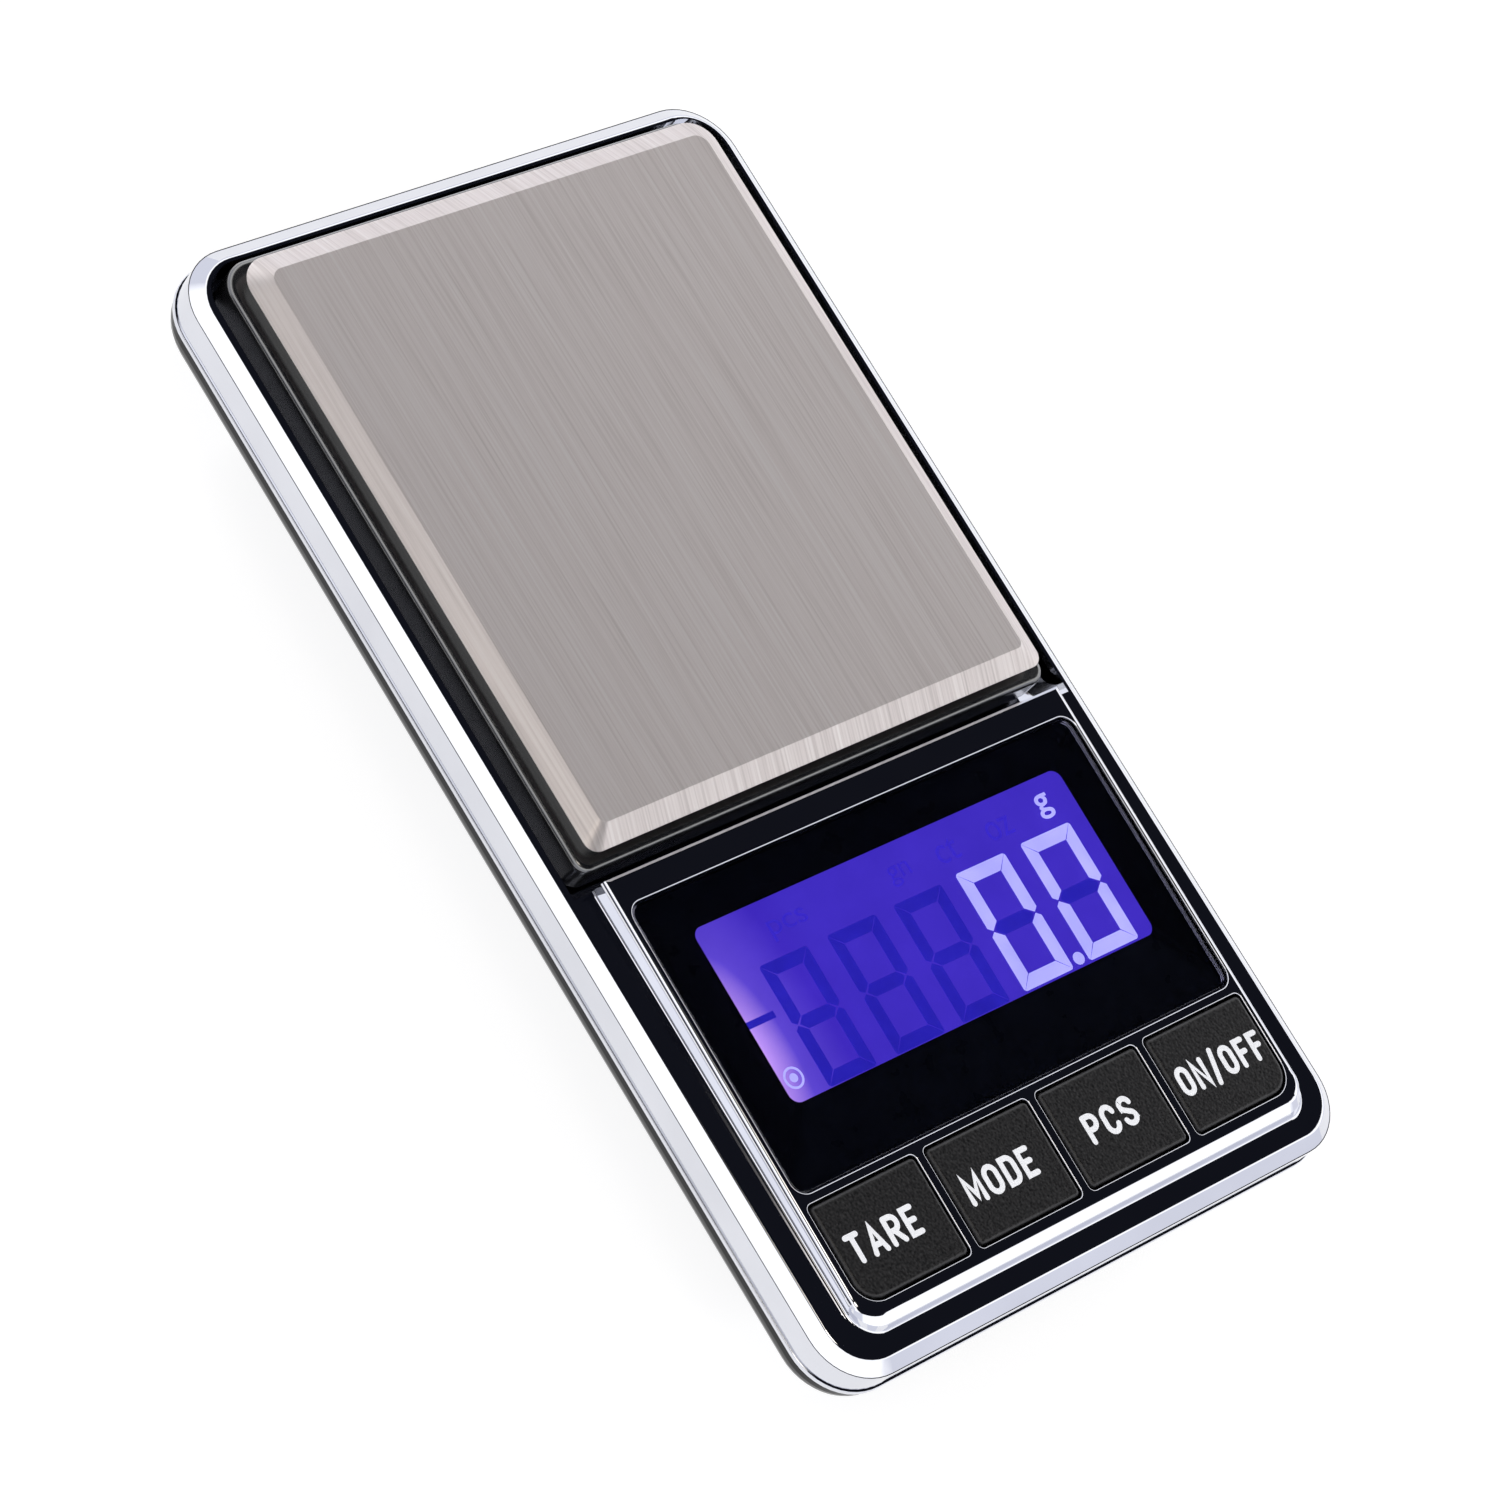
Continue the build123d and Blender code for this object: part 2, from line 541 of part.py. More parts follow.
with BuildPart() as converter_chip:
    with BuildSketch(deck_at(pcb_d + pcb_t)):
        with Locations((18.2, -15.0)):
            Rectangle(4.0, 9.9)
    extrude(amount=-1.5)
    with BuildSketch(deck_at(pcb_d + pcb_t)):
        with Locations((18.2, -15.0)):
            with GridLocations(5.2, 1.27, 2, 7):
                Rectangle(1.2, 0.42)
    extrude(amount=-0.7)
converter_chip.part.label = "converter_chip"
export_step(converter_chip.part, "parts/converter_chip.step")

with BuildPart() as crystal:
    with BuildSketch(deck_at(pcb_d + pcb_t)):
        with Locations((-18.4, -24.6)):
            SlotOverall(7.6, 3.2)
    extrude(amount=-2.6)
    fillet(faces().sort_by(Axis.Z)[0].edges(), 0.3)
crystal.part.label = "crystal"
export_step(crystal.part, "parts/crystal.step")

passive_pos = [(-21.5, -9.0), (-18.9, -9.0), (-16.3, -9.0), (-22.3, -32.6), (-18.6, -33.4),
               (22.2, -22.6), (19.6, -23.6), (16.6, -23.6), (21.6, -33.2), (17.8, -33.2)]
with BuildPart() as pcb_passives:
    with BuildSketch(deck_at(pcb_d + pcb_t)):
        with Locations(*passive_pos):
            Rectangle(1.25, 2.0)
    extrude(amount=-0.8)
pcb_passives.part.label = "pcb_passives"
export_step(pcb_passives.part, "parts/pcb_passives.step")

with BuildPart() as pcb_screws:
    with BuildSketch(deck_at(pcb_d + pcb_t)):
        with Locations(*pcb_screw_pos):
            Circle(1.5)
    extrude(amount=-0.9)
    with BuildSketch(deck_at(pcb_d + pcb_t)):
        with Locations(*pcb_screw_pos):
            Circle(0.6)
    extrude(amount=pcb_t + 1.5)
    with BuildSketch(deck_at(pcb_d + pcb_t + 0.9)):
        with Locations(*pcb_screw_pos):
            Rectangle(1.5, 0.3)
            Rectangle(0.3, 1.5)
    extrude(amount=0.45, mode=Mode.SUBTRACT)
pcb_screws.part.label = "pcb_screws"
export_step(pcb_screws.part, "parts/pcb_screws.step")

# ---------------------------------------------------------------- keypad mat and buttons
cap_top = 0.12                                   # the caps stand this far above the deck
mat_base_d = pcb_d - 0.6
dome_top_d = 2.75
with BuildPart() as keypad_mat:
    with BuildSketch(deck_at(pcb_d)):
        with Locations((0, btn_s)):
            RectangleRounded(48.0, 8.2, 0.6)
    extrude(amount=0.6)
    with BuildSketch(deck_at(mat_base_d)):
        with Locations(*[(x, btn_s) for x in btn_x]):
            Circle(3.2)
    extrude(amount=mat_base_d - dome_top_d, taper=18)
    with BuildSketch(deck_at(pcb_d)):
        with Locations(*[(x, btn_s) for x in btn_x]):
            Circle(2.2)
    extrude(amount=0.7, mode=Mode.SUBTRACT)
keypad_mat.part.label = "keypad_mat"
export_step(keypad_mat.part, "parts/keypad_mat.step")

cap_w, cap_l = hole_w - 2 * cap_gap, hole_l - 2 * cap_gap
button_parts = []
for i in range(4):
    with BuildPart() as button:
        with BuildSketch(deck_at(deck_skin + 0.05)):
            a, b, c, d = btn_corners(i, btn_r - 0.1, btn_corner_r - cap_gap)
            corner_rect(btn_x[i] - cap_w / 2, btn_x[i] + cap_w / 2,
                        btn_s - cap_l / 2, btn_s + cap_l / 2, a, b, c, d)
        extrude(amount=deck_skin + 0.05 + cap_top)
        fillet(faces().sort_by(Axis.Z)[-1].edges(), 0.4)
        # retaining flange under the deck, along the near and far sides
        with BuildSketch(deck_at(deck_skin + 0.05)):
            with Locations((btn_x[i], btn_s)):
                Rectangle(cap_w - 3.0, cap_l + 1.1)
        extrude(amount=-0.5)
        # stem that meets the rubber dome
        with BuildSketch(deck_at(deck_skin + 0.05)):
            with Locations((btn_x[i], btn_s)):
                Circle(1.6)
        extrude(amount=-0.5)
    button.part.label = btn_names[i]
    button_parts.append(button.part)
export_step(button_parts[0], "parts/button_tare.step")
export_step(button_parts[1], "parts/button_mode.step")
export_step(button_parts[2], "parts/button_pcs.step")
export_step(button_parts[3], "parts/button_on_off.step")

# ---------------------------------------------------------------- load cell
beam_cy, beam_cz = (beam_y0 + beam_y1) / 2, beam_z + beam_h / 2
with BuildPart() as load_cell:
    with BuildSketch(Plane.YZ):
        with Locations((beam_cy, beam_cz)):
            Rectangle(beam_y1 - beam_y0, beam_h)
        # two joined bores leave the thin bending webs
        with Locations((beam_cy - 4.2, beam_cz), (beam_cy + 4.2, beam_cz)):
            Circle(2.4, mode=Mode.SUBTRACT)
        with Locations((beam_cy, beam_cz)):
            Rectangle(8.4, 2.0, mode=Mode.SUBTRACT)
    extrude(amount=beam_w / 2, both=True)
    with BuildSketch(Plane.XY.offset(beam_z)):
        with Locations(*[(0, y) for y in fixed_y + free_y]):
            Circle(1.5)
    extrude(amount=beam_h, mode=Mode.SUBTRACT)
load_cell.part.label = "load_cell"
export_step(load_cell.part, "parts/load_cell.step")

with BuildPart() as strain_gauges:
    with BuildSketch(Plane.XY.offset(beam_z + beam_h)):
        with Locations((0, beam_cy - 4.2), (0, beam_cy + 4.2)):
            Rectangle(3.2, 4.8)
    extrude(amount=0.25)
    with BuildSketch(Plane.XY.offset(beam_z - 0.25)):
        with Locations((0, beam_cy - 4.2), (0, beam_cy + 4.2)):
            Rectangle(3.2, 4.8)
    extrude(amount=0.25)
strain_gauges.part.label = "strain_gauges"
export_step(strain_gauges.part, "parts/strain_gauges.step")

with BuildPart() as load_cell_screws:
    for y in fixed_y:
        with BuildSketch(Plane.XY.offset(base_z + 0.25)):
            with Locations((0, y)):
                Circle(2.2)
        extrude(amount=1.45)
        with BuildSketch(Plane.XY.offset(base_z + 1.7)):
            with Locations((0, y)):
                Circle(1.45)
        extrude(amount=6.4)
        with BuildSketch(Plane.XY.offset(base_z + 0.25)):
            with Locations((0, y)):
                Rectangle(2.4, 0.5)
                Rectangle(0.5, 2.4)
        extrude(amount=0.8, mode=Mode.SUBTRACT)
load_cell_screws.part.label = "load_cell_screws"
export_step(load_cell_screws.part, "parts/load_cell_screws.step")

with BuildPart() as overload_stop:
    with BuildSketch(Plane.XY.offset(base_z + 0.4)):
        with Locations((0, 9.0)):
            Circle(1.25)
    extrude(amount=3.3)
    with BuildSketch(Plane.XY.offset(base_z + 0.4)):
        with Locations((0, 9.0)):
            RegularPolygon(0.7, 6)
    extrude(amount=1.0, mode=Mode.SUBTRACT)
overload_stop.part.label = "overload_stop"
export_step(overload_stop.part, "parts/overload_stop.step")

# ---------------------------------------------------------------- pan carrier, tape and pan
with BuildPart() as pan_carrier:
    with BuildSketch(Plane.XY.offset(carrier_z0)):
        corner_rect(-carrier_hw, carrier_hw, carrier_y0, carrier_y1, 1.5, 1.5, 3.0, 3.0)
    extrude(amount=carrier_ledge_z - carrier_z0)
    fillet(faces().sort_by(Axis.Z)[-1].edges(), 0.6)
    with BuildSketch(Plane.XY.offset(carrier_ledge_z - 0.1)):
        corner_rect(-26.1, 26.1, -6.1, 51.4, 1.0, 1.0, 2.3, 2.3)
    extrude(amount=18.55 - carrier_ledge_z + 0.1)
    with BuildSketch(Plane.XY.offset(18.5)):
        corner_rect(-24.0, 24.0, -4.0, 49.3, 0.6, 0.6, 1.0, 1.0)
    extrude(amount=19.3 - 18.5)
    # hollow underside with a stiffening cross
    with BuildSketch(Plane.XY.offset(carrier_z0)):
        corner_rect(-26.0, 26.0, carrier_y0 + 1.5, carrier_y1 - 1.5, 1.0, 1.0, 2.0, 2.0)
    extrude(amount=17.0 - carrier_z0, mode=Mode.SUBTRACT)
    with BuildSketch(Plane.XY.offset(carrier_z0 + 0.4)):
        with Locations((0, 34.0)):
            Rectangle(1.2, 35.0)
        with Locations((0, 22.6)):
            Rectangle(52.6, 1.2)
    extrude(amount=17.0 - carrier_z0)
    # post that stands on the loaded end of the load cell
    with BuildSketch(Plane.XY.offset(beam_z + beam_h)):
        with Locations((0, (free_y[0] + free_y[1]) / 2)):
            RectangleRounded(10.0, 10.4, 1.0)
    extrude(amount=17.2 - beam_z - beam_h)
    with BuildSketch(Plane.XY.offset(beam_z + beam_h - 0.5)):
        with Locations(*[(0, y) for y in free_y]):
            Circle(1.6)
    extrude(amount=10, mode=Mode.SUBTRACT)
    with BuildSketch(Plane.XY.offset(16.2)):
        with Locations(*[(0, y) for y in free_y]):
            Circle(2.15)
    extrude(amount=4, mode=Mode.SUBTRACT)
pan_carrier.part.label = "pan_carrier"
export_step(pan_carrier.part, "parts/pan_carrier.step")

with BuildPart() as carrier_screws:
    for y in free_y:
        with BuildSketch(Plane.XY.offset(16.2)):
            with Locations((0, y)):
                Circle(2.0)
        extrude(amount=1.8)
        with BuildSketch(Plane.XY.offset(6.4)):
            with Locations((0, y)):
                Circle(1.45)
        extrude(amount=9.8)
        with BuildSketch(Plane.XY.offset(18.0)):
            with Locations((0, y)):
                Rectangle(2.4, 0.5)
                Rectangle(0.5, 2.4)
        extrude(amount=-0.9, mode=Mode.SUBTRACT)
carrier_screws.part.label = "carrier_screws"
export_step(carrier_screws.part, "parts/carrier_screws.step")

with BuildPart() as pan_tape:
    with BuildSketch(Plane.XY.offset(19.3)):
        with Locations((0, 22.65)):
            RectangleRounded(45.0, 50.0, 1.0)
            RectangleRounded(30.0, 35.0, 1.0, mode=Mode.SUBTRACT)
    extrude(amount=pan_top_z - pan_t - 19.3)
pan_tape.part.label = "pan_tape"
export_step(pan_tape.part, "parts/pan_tape.step")

with BuildPart() as weighing_pan:
    with BuildSketch(Plane.XY.offset(pan_z0)):
        corner_rect(-pan_hw, pan_hw, pan_y0, pan_y1, pan_r_near, pan_r_near, pan_r_far, pan_r_far)
    extrude(amount=pan_top_z - pan_z0 - pan_bevel_h)
    g = pan_bevel_w
    with BuildSketch(Plane.XY.offset(pan_z0 + 0.1)) as pan_low:
        corner_rect(-pan_hw, pan_hw, pan_y0, pan_y1, pan_r_near, pan_r_near, pan_r_far, pan_r_far)
    with BuildSketch(Plane.XY.offset(pan_top_z)) as pan_high:
        corner_rect(-pan_hw + g, pan_hw - g, pan_y0 + g, pan_y1 - g, 0.7, 0.7, 1.3, 1.3)
    loft(sections=[pan_low.sketch.face(), pan_high.sketch.face()], ruled=True)
    # hollow underneath, so the sheet keeps one thickness
    h = pan_t * 1.05
    with BuildSketch(Plane.XY.offset(pan_z0 - 0.2)) as in_low:
        corner_rect(-pan_hw + 0.45, pan_hw - 0.45, pan_y0 + 0.45, pan_y1 - 0.45, 0.9, 0.9, 2.3, 2.3)
    with BuildSketch(Plane.XY.offset(pan_top_z - pan_t)) as in_high:
        corner_rect(-pan_hw + g + 0.15, pan_hw - g - 0.15, pan_y0 + g + 0.15, pan_y1 - g - 0.15,
                    0.5, 0.5, 1.0, 1.0)
    loft(sections=[in_low.sketch.face(), in_high.sketch.face()], ruled=True, mode=Mode.SUBTRACT)
weighing_pan.part.label = "weighing_pan"
export_step(weighing_pan.part, "parts/weighing_pan.step")

# ---------------------------------------------------------------- cells and contacts
cell_y1 = cell_y0 + cell_l
with BuildPart() as battery_left:
    # positive end towards +Y
    with BuildSketch(Plane.XZ.offset(-cell_y0)):
        with Locations((-cell_x, cell_z)):
            Circle(cell_r)
    extrude(amount=-(cell_l - nub_l))
    fillet(edges().filter_by(GeomType.CIRCLE), 0.5)
    with BuildSketch(Plane.XZ.offset(-(cell_y1 - nub_l - 0.1))):
        with Locations((-cell_x, cell_z)):
            Circle(nub_r)
    extrude(amount=-(nub_l + 0.1))
battery_left.part.label = "battery_left"
export_step(battery_left.part, "parts/battery_left.step")

right_y0 = bay_y0 + plate_t
with BuildPart() as battery_right:
    # positive end towards -Y
    with BuildSketch(Plane.XZ.offset(-(right_y0 + nub_l))):
        with Locations((cell_x, cell_z)):
            Circle(cell_r)
    extrude(amount=-(cell_l - nub_l))
    fillet(edges().filter_by(GeomType.CIRCLE), 0.5)
    with BuildSketch(Plane.XZ.offset(-right_y0)):
        with Locations((cell_x, cell_z)):
            Circle(nub_r)
    extrude(amount=-(nub_l + 0.1))
battery_right.part.label = "battery_right"
export_step(battery_right.part, "parts/battery_right.step")

coil_wire = 0.22
with BuildPart() as battery_terminals:
    # near end: a coil behind the left cell, a plate behind the right one
    with BuildSketch(Plane.XZ.offset(-bay_y0)):
        with Locations((-cell_x, cell_z), (cell_x, cell_z)):
            RectangleRounded(8.6, 8.6, 0.8)
    extrude(amount=-plate_t)
    with BuildLine():
        coil = Helix(pitch=0.5, height=0.95, radius=2.6, direction=(0, 1, 0),
                     center=(-cell_x, bay_y0 + plate_t + coil_wire, cell_z))
    with BuildSketch(Plane(origin=coil @ 0, z_dir=coil % 0)):
        Circle(coil_wire)
    sweep()
battery_terminals.part.label = "battery_terminals"
export_step(battery_terminals.part, "parts/battery_terminals.step")

with BuildPart() as battery_bridge:
    # far end: one plate joins both cells, with a coil behind the right one
    with BuildSketch(Plane.XZ.offset(-bay_y1)):
        with Locations((0, cell_z)):
            RectangleRounded(19.6, 8.6, 0.8)
    extrude(amount=plate_t)
    with BuildLine():
        coil = Helix(pitch=0.5, height=0.95, radius=2.6, direction=(0, -1, 0),
                     center=(cell_x, bay_y1 - plate_t - coil_wire, cell_z))
    with BuildSketch(Plane(origin=coil @ 0, z_dir=coil % 0)):
        Circle(coil_wire)
    sweep()
battery_bridge.part.label = "battery_bridge"
export_step(battery_bridge.part, "parts/battery_bridge.step")

# ---------------------------------------------------------------- case screws and feet
with BuildPart() as case_screws:
    for places, seat in ((screw_near, 10.6), (screw_far, base_z + 2.0)):
        with BuildSketch(Plane.XY.offset(seat - 1.4)):
            with Locations(*places):
                Circle(1.95)
        extrude(amount=1.4)
        with BuildSketch(Plane.XY.offset(seat)):
            with Locations(*places):
                Circle(0.88)
        extrude(amount=4.6 if places is screw_near else 8.0)
        with BuildSketch(Plane.XY.offset(seat - 1.4)):
            with Locations(*places):
                Rectangle(2.3, 0.45)
                Rectangle(0.45, 2.3)
        extrude(amount=0.8, mode=Mode.SUBTRACT)
case_screws.part.label = "case_screws"
export_step(case_screws.part, "parts/case_screws.step")

with BuildPart() as rubber_feet:
    with BuildSketch(Plane.XY):
        with Locations(*foot_pos):
            Circle(foot_r)
    extrude(amount=base_z + 0.3)
    fillet(edges().group_by(Axis.Z)[0], 0.25)
rubber_feet.part.label = "rubber_feet"
export_step(rubber_feet.part, "parts/rubber_feet.step")

# ---------------------------------------------------------------- leads
lead_r = 0.45
board_z = rim_z + deck_rise - pcb_d - pcb_t
with BuildPart() as gauge_leads:
    for j, (x_end, z_run) in enumerate(((13.9, 9.4), (15.25, 9.4), (16.6, 9.4))):
        with BuildLine():
            lead = Spline((4.95, 18.6 - 1.1 * j, 8.9), (9.0 + 0.6 * j, 12.5, z_run), (x_end, 3.0, z_run + 0.5),
                          (x_end, -10.4, 11.2), (x_end, -13.1, board_z - 0.1),
                          tangents=[(1, -0.3, 0), (0, 0, 1)])
        with BuildSketch(Plane(origin=lead @ 0, z_dir=lead % 0)):
            Circle(lead_r)
        sweep()
gauge_leads.part.label = "gauge_leads"
export_step(gauge_leads.part, "parts/gauge_leads.step")
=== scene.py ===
import bpy
import math
from mathutils import Matrix, Vector


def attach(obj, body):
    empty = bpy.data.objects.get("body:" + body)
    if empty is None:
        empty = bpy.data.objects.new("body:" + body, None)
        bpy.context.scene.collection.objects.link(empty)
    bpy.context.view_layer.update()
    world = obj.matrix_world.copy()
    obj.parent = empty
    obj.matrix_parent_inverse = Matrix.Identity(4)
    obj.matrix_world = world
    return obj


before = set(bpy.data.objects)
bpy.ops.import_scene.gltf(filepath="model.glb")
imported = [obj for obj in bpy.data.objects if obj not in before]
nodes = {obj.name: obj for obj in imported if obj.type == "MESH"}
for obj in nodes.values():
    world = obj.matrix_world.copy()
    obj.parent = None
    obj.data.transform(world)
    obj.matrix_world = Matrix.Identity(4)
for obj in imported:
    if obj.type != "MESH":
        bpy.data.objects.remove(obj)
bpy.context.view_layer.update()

MM = 0.001

# ------------------------------------------------------------------ shared sizes (mm)
RIM_Z = 17.05
DECK_Y1 = -8.9
DECK_RISE = 1.84
SLOPE = 0.0158
TILT = math.atan(SLOPE)
BTN_S = -35.8
BTN_X = [-19.8, -6.6, 6.6, 19.8]
LCD_DEPTH = 1.15

# deck frame: x right, s along the deck (negative towards the near end), n out of it
DECK = Matrix(((1, 0, 0, 0), (0, math.cos(TILT), -math.sin(TILT), DECK_Y1),
               (0, math.sin(TILT), math.cos(TILT), RIM_Z + DECK_RISE), (0, 0, 0, 1)))


def deck(x, s, n):
    """A point in the deck's own frame, in mm, as a point of the scene in metres."""
    return (DECK @ Vector((x, s, n))) * MM


# ------------------------------------------------------------------ materials
def new_mat(name):
    m = bpy.data.materials.new(name)
    m.use_nodes = True
    nt = m.node_tree
    b = nt.nodes["Principled BSDF"]
    return m, nt, b


def node(nt, kind, **kw):
    n = nt.nodes.new(kind)
    for k, v in kw.items():
        setattr(n, k, v)
    return n


def coords(nt, scale=(1000, 1000, 1000)):
    """Object coordinates in millimetres."""
    tc = node(nt, "ShaderNodeTexCoord")
    mp = node(nt, "ShaderNodeMapping")
    mp.inputs["Scale"].default_value = scale
    nt.links.new(tc.outputs["Object"], mp.inputs["Vector"])
    return mp.outputs["Vector"]


def noise(nt, vec, scale, detail=2.0, rough=0.5):
    n = node(nt, "ShaderNodeTexNoise")
    n.inputs["Scale"].default_value = scale
    n.inputs["Detail"].default_value = detail
    n.inputs["Roughness"].default_value = rough
    nt.links.new(vec, n.inputs["Vector"])
    return n.outputs["Fac"]


def ramp(nt, fac, stops):
    r = node(nt, "ShaderNodeValToRGB")
    e = r.color_ramp.elements
    while len(e) < len(stops):
        e.new(0.5)
    for i, (p, c) in enumerate(stops):
        e[i].position = p
        e[i].color = (*c, 1) if len(c) == 3 else c
    nt.links.new(fac, r.inputs["Fac"])
    return r.outputs["Color"]


def maprange(nt, fac, lo, hi, a=0.0, b=1.0):
    n = node(nt, "ShaderNodeMapRange")
    n.inputs["From Min"].default_value = a
    n.inputs["From Max"].default_value = b
    n.inputs["To Min"].default_value = lo
    n.inputs["To Max"].default_value = hi
    nt.links.new(fac, n.inputs["Value"])
    return n.outputs["Result"]


def bump(nt, b, height, dist_mm, strength=1.0):
    n = node(nt, "ShaderNodeBump")
    n.inputs["Distance"].default_value = dist_mm * MM
    n.inputs["Strength"].default_value = strength
    nt.links.new(height, n.inputs["Height"])
    nt.links.new(n.outputs["Normal"], b.inputs["Normal"])
    return n


def surface(name, c0, c1, scale=0.6, metal=0.0, rough=(0.3, 0.4), bump_mm=0.0, bump_scale=8.0, detail=3.0,
            spec=0.5, coat=0.0, coat_rough=0.05, stretch=(1, 1, 1)):
    """A general surface: two shades mixed by noise, roughness that wanders, and fine relief."""
    m, nt, b = new_mat(name)
    vec = coords(nt, tuple(1000 * s for s in stretch))
    f = noise(nt, vec, scale, detail)
    nt.links.new(ramp(nt, f, [(0.35, c0), (0.65, c1)]), b.inputs["Base Color"])
    nt.links.new(maprange(nt, f, rough[0], rough[1], 0.3, 0.7), b.inputs["Roughness"])
    b.inputs["Metallic"].default_value = metal
    b.inputs["Specular IOR Level"].default_value = spec
    if coat:
        b.inputs["Coat Weight"].default_value = coat
        b.inputs["Coat Roughness"].default_value = coat_rough
    if bump_mm:
        bump(nt, b, noise(nt, vec, bump_scale, 4.0), bump_mm)
    return m


def srgb(r, g, b):
    def f(v):
        v /= 255.0
        return v / 12.92 if v <= 0.04045 else ((v + 0.055) / 1.055) ** 2.4
    return (f(r), f(g), f(b))


def chrome_material():
    m, nt, b = new_mat("chrome_plating")
    vec = coords(nt)
    wander = noise(nt, vec, 0.12, 3.0)
    nt.links.new(ramp(nt, wander, [(0.3, (0.68, 0.69, 0.74)), (0.7, (0.73, 0.74, 0.79))]), b.inputs["Base Color"])
    nt.links.new(maprange(nt, wander, 0.025, 0.05, 0.3, 0.7), b.inputs["Roughness"])
    b.inputs["Metallic"].default_value = 1.0
    # the faint orange-peel of plated plastic
    bump(nt, b, noise(nt, vec, 0.35, 2.0), 0.003, 0.35)
    return m


def pan_material():
    m, nt, b = new_mat("brushed_steel")
    fine = coords(nt, (4200, 60, 60))
    broad = coords(nt, (800, 14, 14))
    f = noise(nt, fine, 1.0, 3.0, 0.6)
    g = noise(nt, broad, 1.0, 3.0, 0.6)
    mix = node(nt, "ShaderNodeMix", data_type="FLOAT")
    mix.inputs[0].default_value = 0.30
    nt.links.new(f, mix.inputs[2])
    nt.links.new(g, mix.inputs[3])
    h = mix.outputs[0]
    nt.links.new(ramp(nt, h, [(0.30, (0.62, 0.565, 0.55)), (0.5, (0.80, 0.735, 0.72)), (0.70, (0.92, 0.87, 0.855))]),
                 b.inputs["Base Color"])
    nt.links.new(maprange(nt, h, 0.46, 0.34, 0.3, 0.7), b.inputs["Roughness"])
    b.inputs["Metallic"].default_value = 0.62
    bump(nt, b, f, 0.006, 0.5)
    return m


def plastic_grain(name, c0, c1, rough, grain_mm, grain_scale, spec=0.5, shade_scale=0.5):
    m, nt, b = new_mat(name)
    vec = coords(nt)
    f = noise(nt, vec, shade_scale, 3.0)
    nt.links.new(ramp(nt, f, [(0.35, c0), (0.65, c1)]), b.inputs["Base Color"])
    nt.links.new(maprange(nt, f, rough[0], rough[1], 0.3, 0.7), b.inputs["Roughness"])
    b.inputs["Specular IOR Level"].default_value = spec
    vo = node(nt, "ShaderNodeTexVoronoi", feature="SMOOTH_F1")
    vo.inputs["Scale"].default_value = grain_scale
    nt.links.new(vec, vo.inputs["Vector"])
    bump(nt, b, vo.outputs["Distance"], grain_mm, 0.9)
    return m


mats = {}
mats["chrome"] = chrome_material()
mats["gloss_black"] = surface("gloss_black_shell", (0.004, 0.004, 0.0045), (0.007, 0.007, 0.008), 0.2, spec=0.22,
                              rough=(0.06, 0.10), bump_mm=0.004, bump_scale=0.3)
mats["door"] = plastic_grain("door_plastic", (0.008, 0.008, 0.009), (0.013, 0.013, 0.014), (0.28, 0.36), 0.01, 3.0)
mats["pan"] = pan_material()
mats["carrier"] = surface("carrier_plastic", (0.004, 0.004, 0.005), (0.007, 0.007, 0.008), 0.6, rough=(0.20, 0.26),
                          bump_mm=0.002, bump_scale=1.0, spec=1.0, coat=1.0, coat_rough=0.12)
mats["carrier"].node_tree.nodes["Principled BSDF"].inputs["IOR"].default_value = 1.8
mats["key"] = plastic_grain("key_plastic", (0.003, 0.003, 0.0035), (0.020, 0.019, 0.020), (0.34, 0.44), 0.03, 3.6, 0.5, 4.5)


def lens_material():
    m, nt, b = new_mat("tinted_acrylic")
    vec = coords(nt)
    f = noise(nt, vec, 0.25, 3.0)
    nt.links.new(ramp(nt, f, [(0.3, (0.55, 0.55, 0.72)), (0.7, (0.62, 0.62, 0.78))]), b.inputs["Base Color"])
    nt.links.new(maprange(nt, f, 0.02, 0.035, 0.3, 0.7), b.inputs["Roughness"])
    b.inputs["Transmission Weight"].default_value = 1.0
    b.inputs["IOR"].default_value = 1.49
    return m


mats["lens"] = lens_material()
mats["tape"] = surface("adhesive_film", (0.60, 0.60, 0.56), (0.72, 0.72, 0.68), 0.8, rough=(0.4, 0.6))
mats["mask"] = surface("printed_mask", (0.003, 0.0045, 0.009), (0.004, 0.006, 0.012), 0.4, rough=(0.25, 0.4), spec=0.1)


